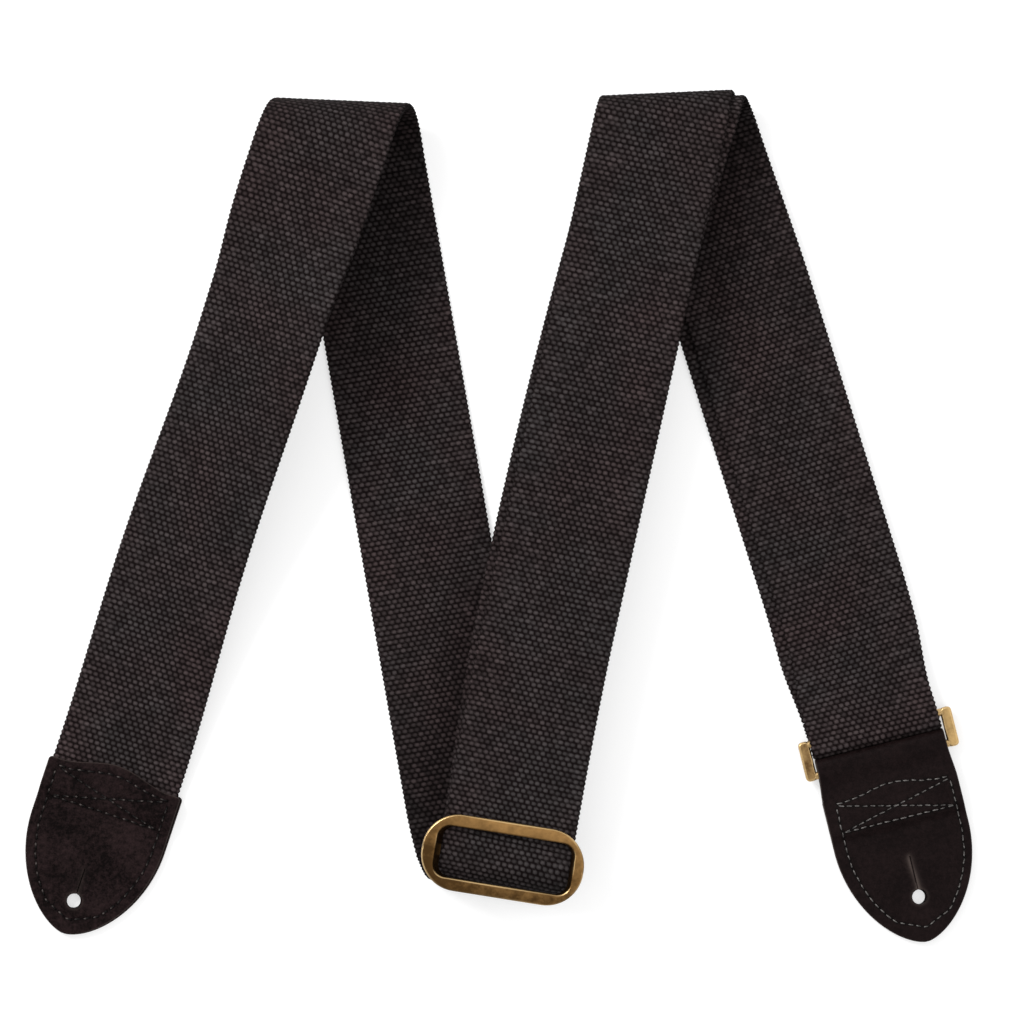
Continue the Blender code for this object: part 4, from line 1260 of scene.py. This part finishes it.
def round_bar(name, size, corner, bevel, matrix, material, painted_lightness=0.5):
    """A straight bar: corner rounds it as seen from above and bevel rounds its edges."""
    rings = []
    edges = []
    for angle in np.radians(np.linspace(-90, 90, 12)):
        inset = bevel * (1 - math.cos(angle))
        z = math.copysign(size[2] / 2 - bevel, angle) + bevel * math.sin(angle)
        radius = max(corner - inset, 0.05 * MM)
        place = rounded_outline(size[0] - 2 * inset, size[1] - 2 * inset, radius, 5)
        rings.append(np.concatenate((place, np.full((len(place), 1), z)), axis=1))
        # The upper rounded edges are rubbed bright and carry painted highlights
        edges.append(np.full(len(place), max(0.0, math.sin(2 * angle)) * 0.9))
    rows = np.stack(rings)
    count = rows.shape[1]
    grid = np.arange(rows.shape[0] * count).reshape(rows.shape[:2])
    beside = np.roll(grid, -1, axis=1)
    quads = [np.stack((grid[:-1], beside[:-1], beside[1:], grid[1:]), axis=-1).reshape(-1, 4)]
    for row in (grid[0][::-1], grid[-1]):
        strip = [(row[k], row[k + 1], row[count - 2 - k], row[count - 1 - k]) for k in range(count // 2 - 1)]
        quads.append(np.array(strip))
    # One painted lightness for the whole bar
    painted_brightness = np.full(rows.shape[0] * count, painted_lightness)
    return metal_object(name, rows, quads, matrix, material, edges, painted_brightness)


def slider_matrix(z):
    angle = math.atan2(-MIDDLE_UP[0], MIDDLE_UP[1]) + SLIDER_TILT
    centre = slider_centre()
    return Matrix.Translation((centre[0], centre[1], z)) @ Matrix.Rotation(angle, 4, "Z")


def build_slider():
    z_frame = Z_MIDDLE + 1.0 * MM + GAP + SLIDER_THICK / 2
    z_bar = Z_TAIL_MIDDLE - 1.0 * MM - GAP - BAR_THICK / 2
    outer = rounded_outline(SLIDER_LENGTH, SLIDER_WIDTH, SLIDER_WIDTH / 2 - 0.6 * MM, 14)
    upper = rounded_outline(SLIDER_OPEN_TOP, SLIDER_OPEN_WIDTH, 5.0 * MM, 14, (SLIDER_SHIFT_TOP, 0.0))
    lower_width = SLIDER_OPEN_WIDTH - 0.2 * MM
    lower = rounded_outline(SLIDER_OPEN_LOW, lower_width, 5.0 * MM, 14, (SLIDER_SHIFT_LOW, 0.0))
    place = slider_matrix(z_frame)
    oval = frame_loop("slider_oval", outer, upper, lower, SLIDER_THICK, 0.8 * MM, place, SLIDER_BRASS)
    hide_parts("slider")
    post_height = z_frame - z_bar + BAR_THICK / 2
    post_x = POST_SPACING / 2
    base = slider_matrix(z_bar) @ Matrix.Translation((0, BAR_OFFSET, 0))
    size = (2 * post_x + POST_THICK, BAR_WIDTH, BAR_THICK)
    pieces = [oval, round_bar("slider_bar", size, 0.9 * MM, 0.9 * MM, base, SLIDER_BRASS)]
    size = (POST_THICK, BAR_WIDTH, post_height - 0.6 * MM)
    for side, label in ((-1, "left"), (1, "right")):
        middle = base @ Matrix.Translation((side * post_x, 0, (post_height - BAR_THICK) / 2))
        pieces.append(round_bar(f"slider_post_{label}", size, 0.7 * MM, 0.7 * MM, middle, SLIDER_BRASS))
    for piece in pieces:
        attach(piece, "slider")


def build_ring():
    base = Matrix.Translation((*RING_CENTRE, Z_RING)) @ Matrix.Rotation(RING_HEADING, 4, "Z")
    side_x = RING_INNER_WIDTH / 2 + RING_SIDE_WIDTH / 2
    pieces = []
    size = (RING_SIDE_WIDTH, RING_LENGTH, RING_BAR)
    # The left side is painted darker and the right side lighter: painted shade and painted light
    for side, label, painted_lightness in ((-1, "left", 0.26), (1, "right", 0.58)):
        matrix = base @ Matrix.Translation((side * side_x, 0, 0))
        pieces.append(round_bar(f"ring_side_{label}", size, 1.6 * MM, 0.9 * MM, matrix, RING_BRASS, painted_lightness))
    size = (2 * side_x, RING_BAR, RING_BAR)
    radius = RING_BAR / 2 - 0.05 * MM
    for side, label in ((-1, "lower"), (1, "upper")):
        matrix = base @ Matrix.Translation((0, side * RING_BAR_SPACING / 2, 0))
        pieces.append(round_bar(f"ring_bar_{label}", size, radius, radius, matrix, RING_BRASS))
    for piece in pieces:
        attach(piece, "ring")
    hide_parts("ring")


# ---------------------------------------------------------------- studio

def build_studio():
    made, _, shader = node_material("floor")
    set_inputs(shader, Base_Color=(0.55, 0.55, 0.55, 1.0), Roughness=0.9, Specular_IOR_Level=0.0)
    set_inputs(shader, Emission_Color=(1.0, 1.0, 1.0, 1.0), Emission_Strength=0.56)
    bpy.ops.mesh.primitive_plane_add(size=60, location=(0, 0, -0.0002))
    floor = bpy.context.object
    floor.name = "floor"
    floor.data.materials.append(made)
    build_sky()
    lights = [
        ((-1.0, 0.8, 1.1), 0.6, 19.0),
        ((0.9, -0.4, 1.5), 1.0, 4.0),
    ]
    for place, size, power in lights:
        data = bpy.data.lights.new("softbox", "AREA")
        data.size = size
        data.energy = power
        lamp = bpy.data.objects.new("softbox", data)
        lamp.location = place
        lamp.rotation_euler = (-Vector(place)).to_track_quat("-Z", "Y").to_euler()
        bpy.context.scene.collection.objects.link(lamp)
    bpy.context.scene.view_settings.view_transform = "Standard"


def build_sky():
    """Soft white light all round, stronger from the far side and from above."""
    world = bpy.data.worlds.new("studio")
    bpy.context.scene.world = world
    world.use_nodes = True
    tree = world.node_tree
    direction = tree.nodes.new("ShaderNodeTexCoord").outputs["Generated"]
    parts = tree.nodes.new("ShaderNodeSeparateXYZ")
    tree.links.new(direction, parts.inputs[0])
    ahead = scaled(tree, parts.outputs[1], 0.5, 0.5)
    glow = ramp(tree, ahead, ((0.2, (0.72, 0.72, 0.72)), (0.8, (1.15, 1.15, 1.15))))
    height = ramp(tree, parts.outputs[2], ((0.05, (0.25, 0.25, 0.25)), (0.75, (1.0, 1.0, 1.0))))
    background = tree.nodes["Background"]
    tree.links.new(mix(tree, 1.0, glow, height, "MULTIPLY"), background.inputs["Color"])
    background.inputs["Strength"].default_value = 1.0


def build_camera():
    data = bpy.data.cameras.new("camera")
    data.sensor_width = 36.0
    data.lens = 199.3
    data.clip_start = 0.1
    data.clip_end = 100.0
    camera = bpy.data.objects.new("camera", data)
    camera.location = (5.1 * MM, 1.8 * MM, 2.2)
    bpy.context.scene.collection.objects.link(camera)
    bpy.context.scene.camera = camera


build_webbing()
bend_left_fold()
build_tab_a()
build_tab_b()
build_tail_stitches()
build_slider()
build_ring()
build_studio()
build_camera()
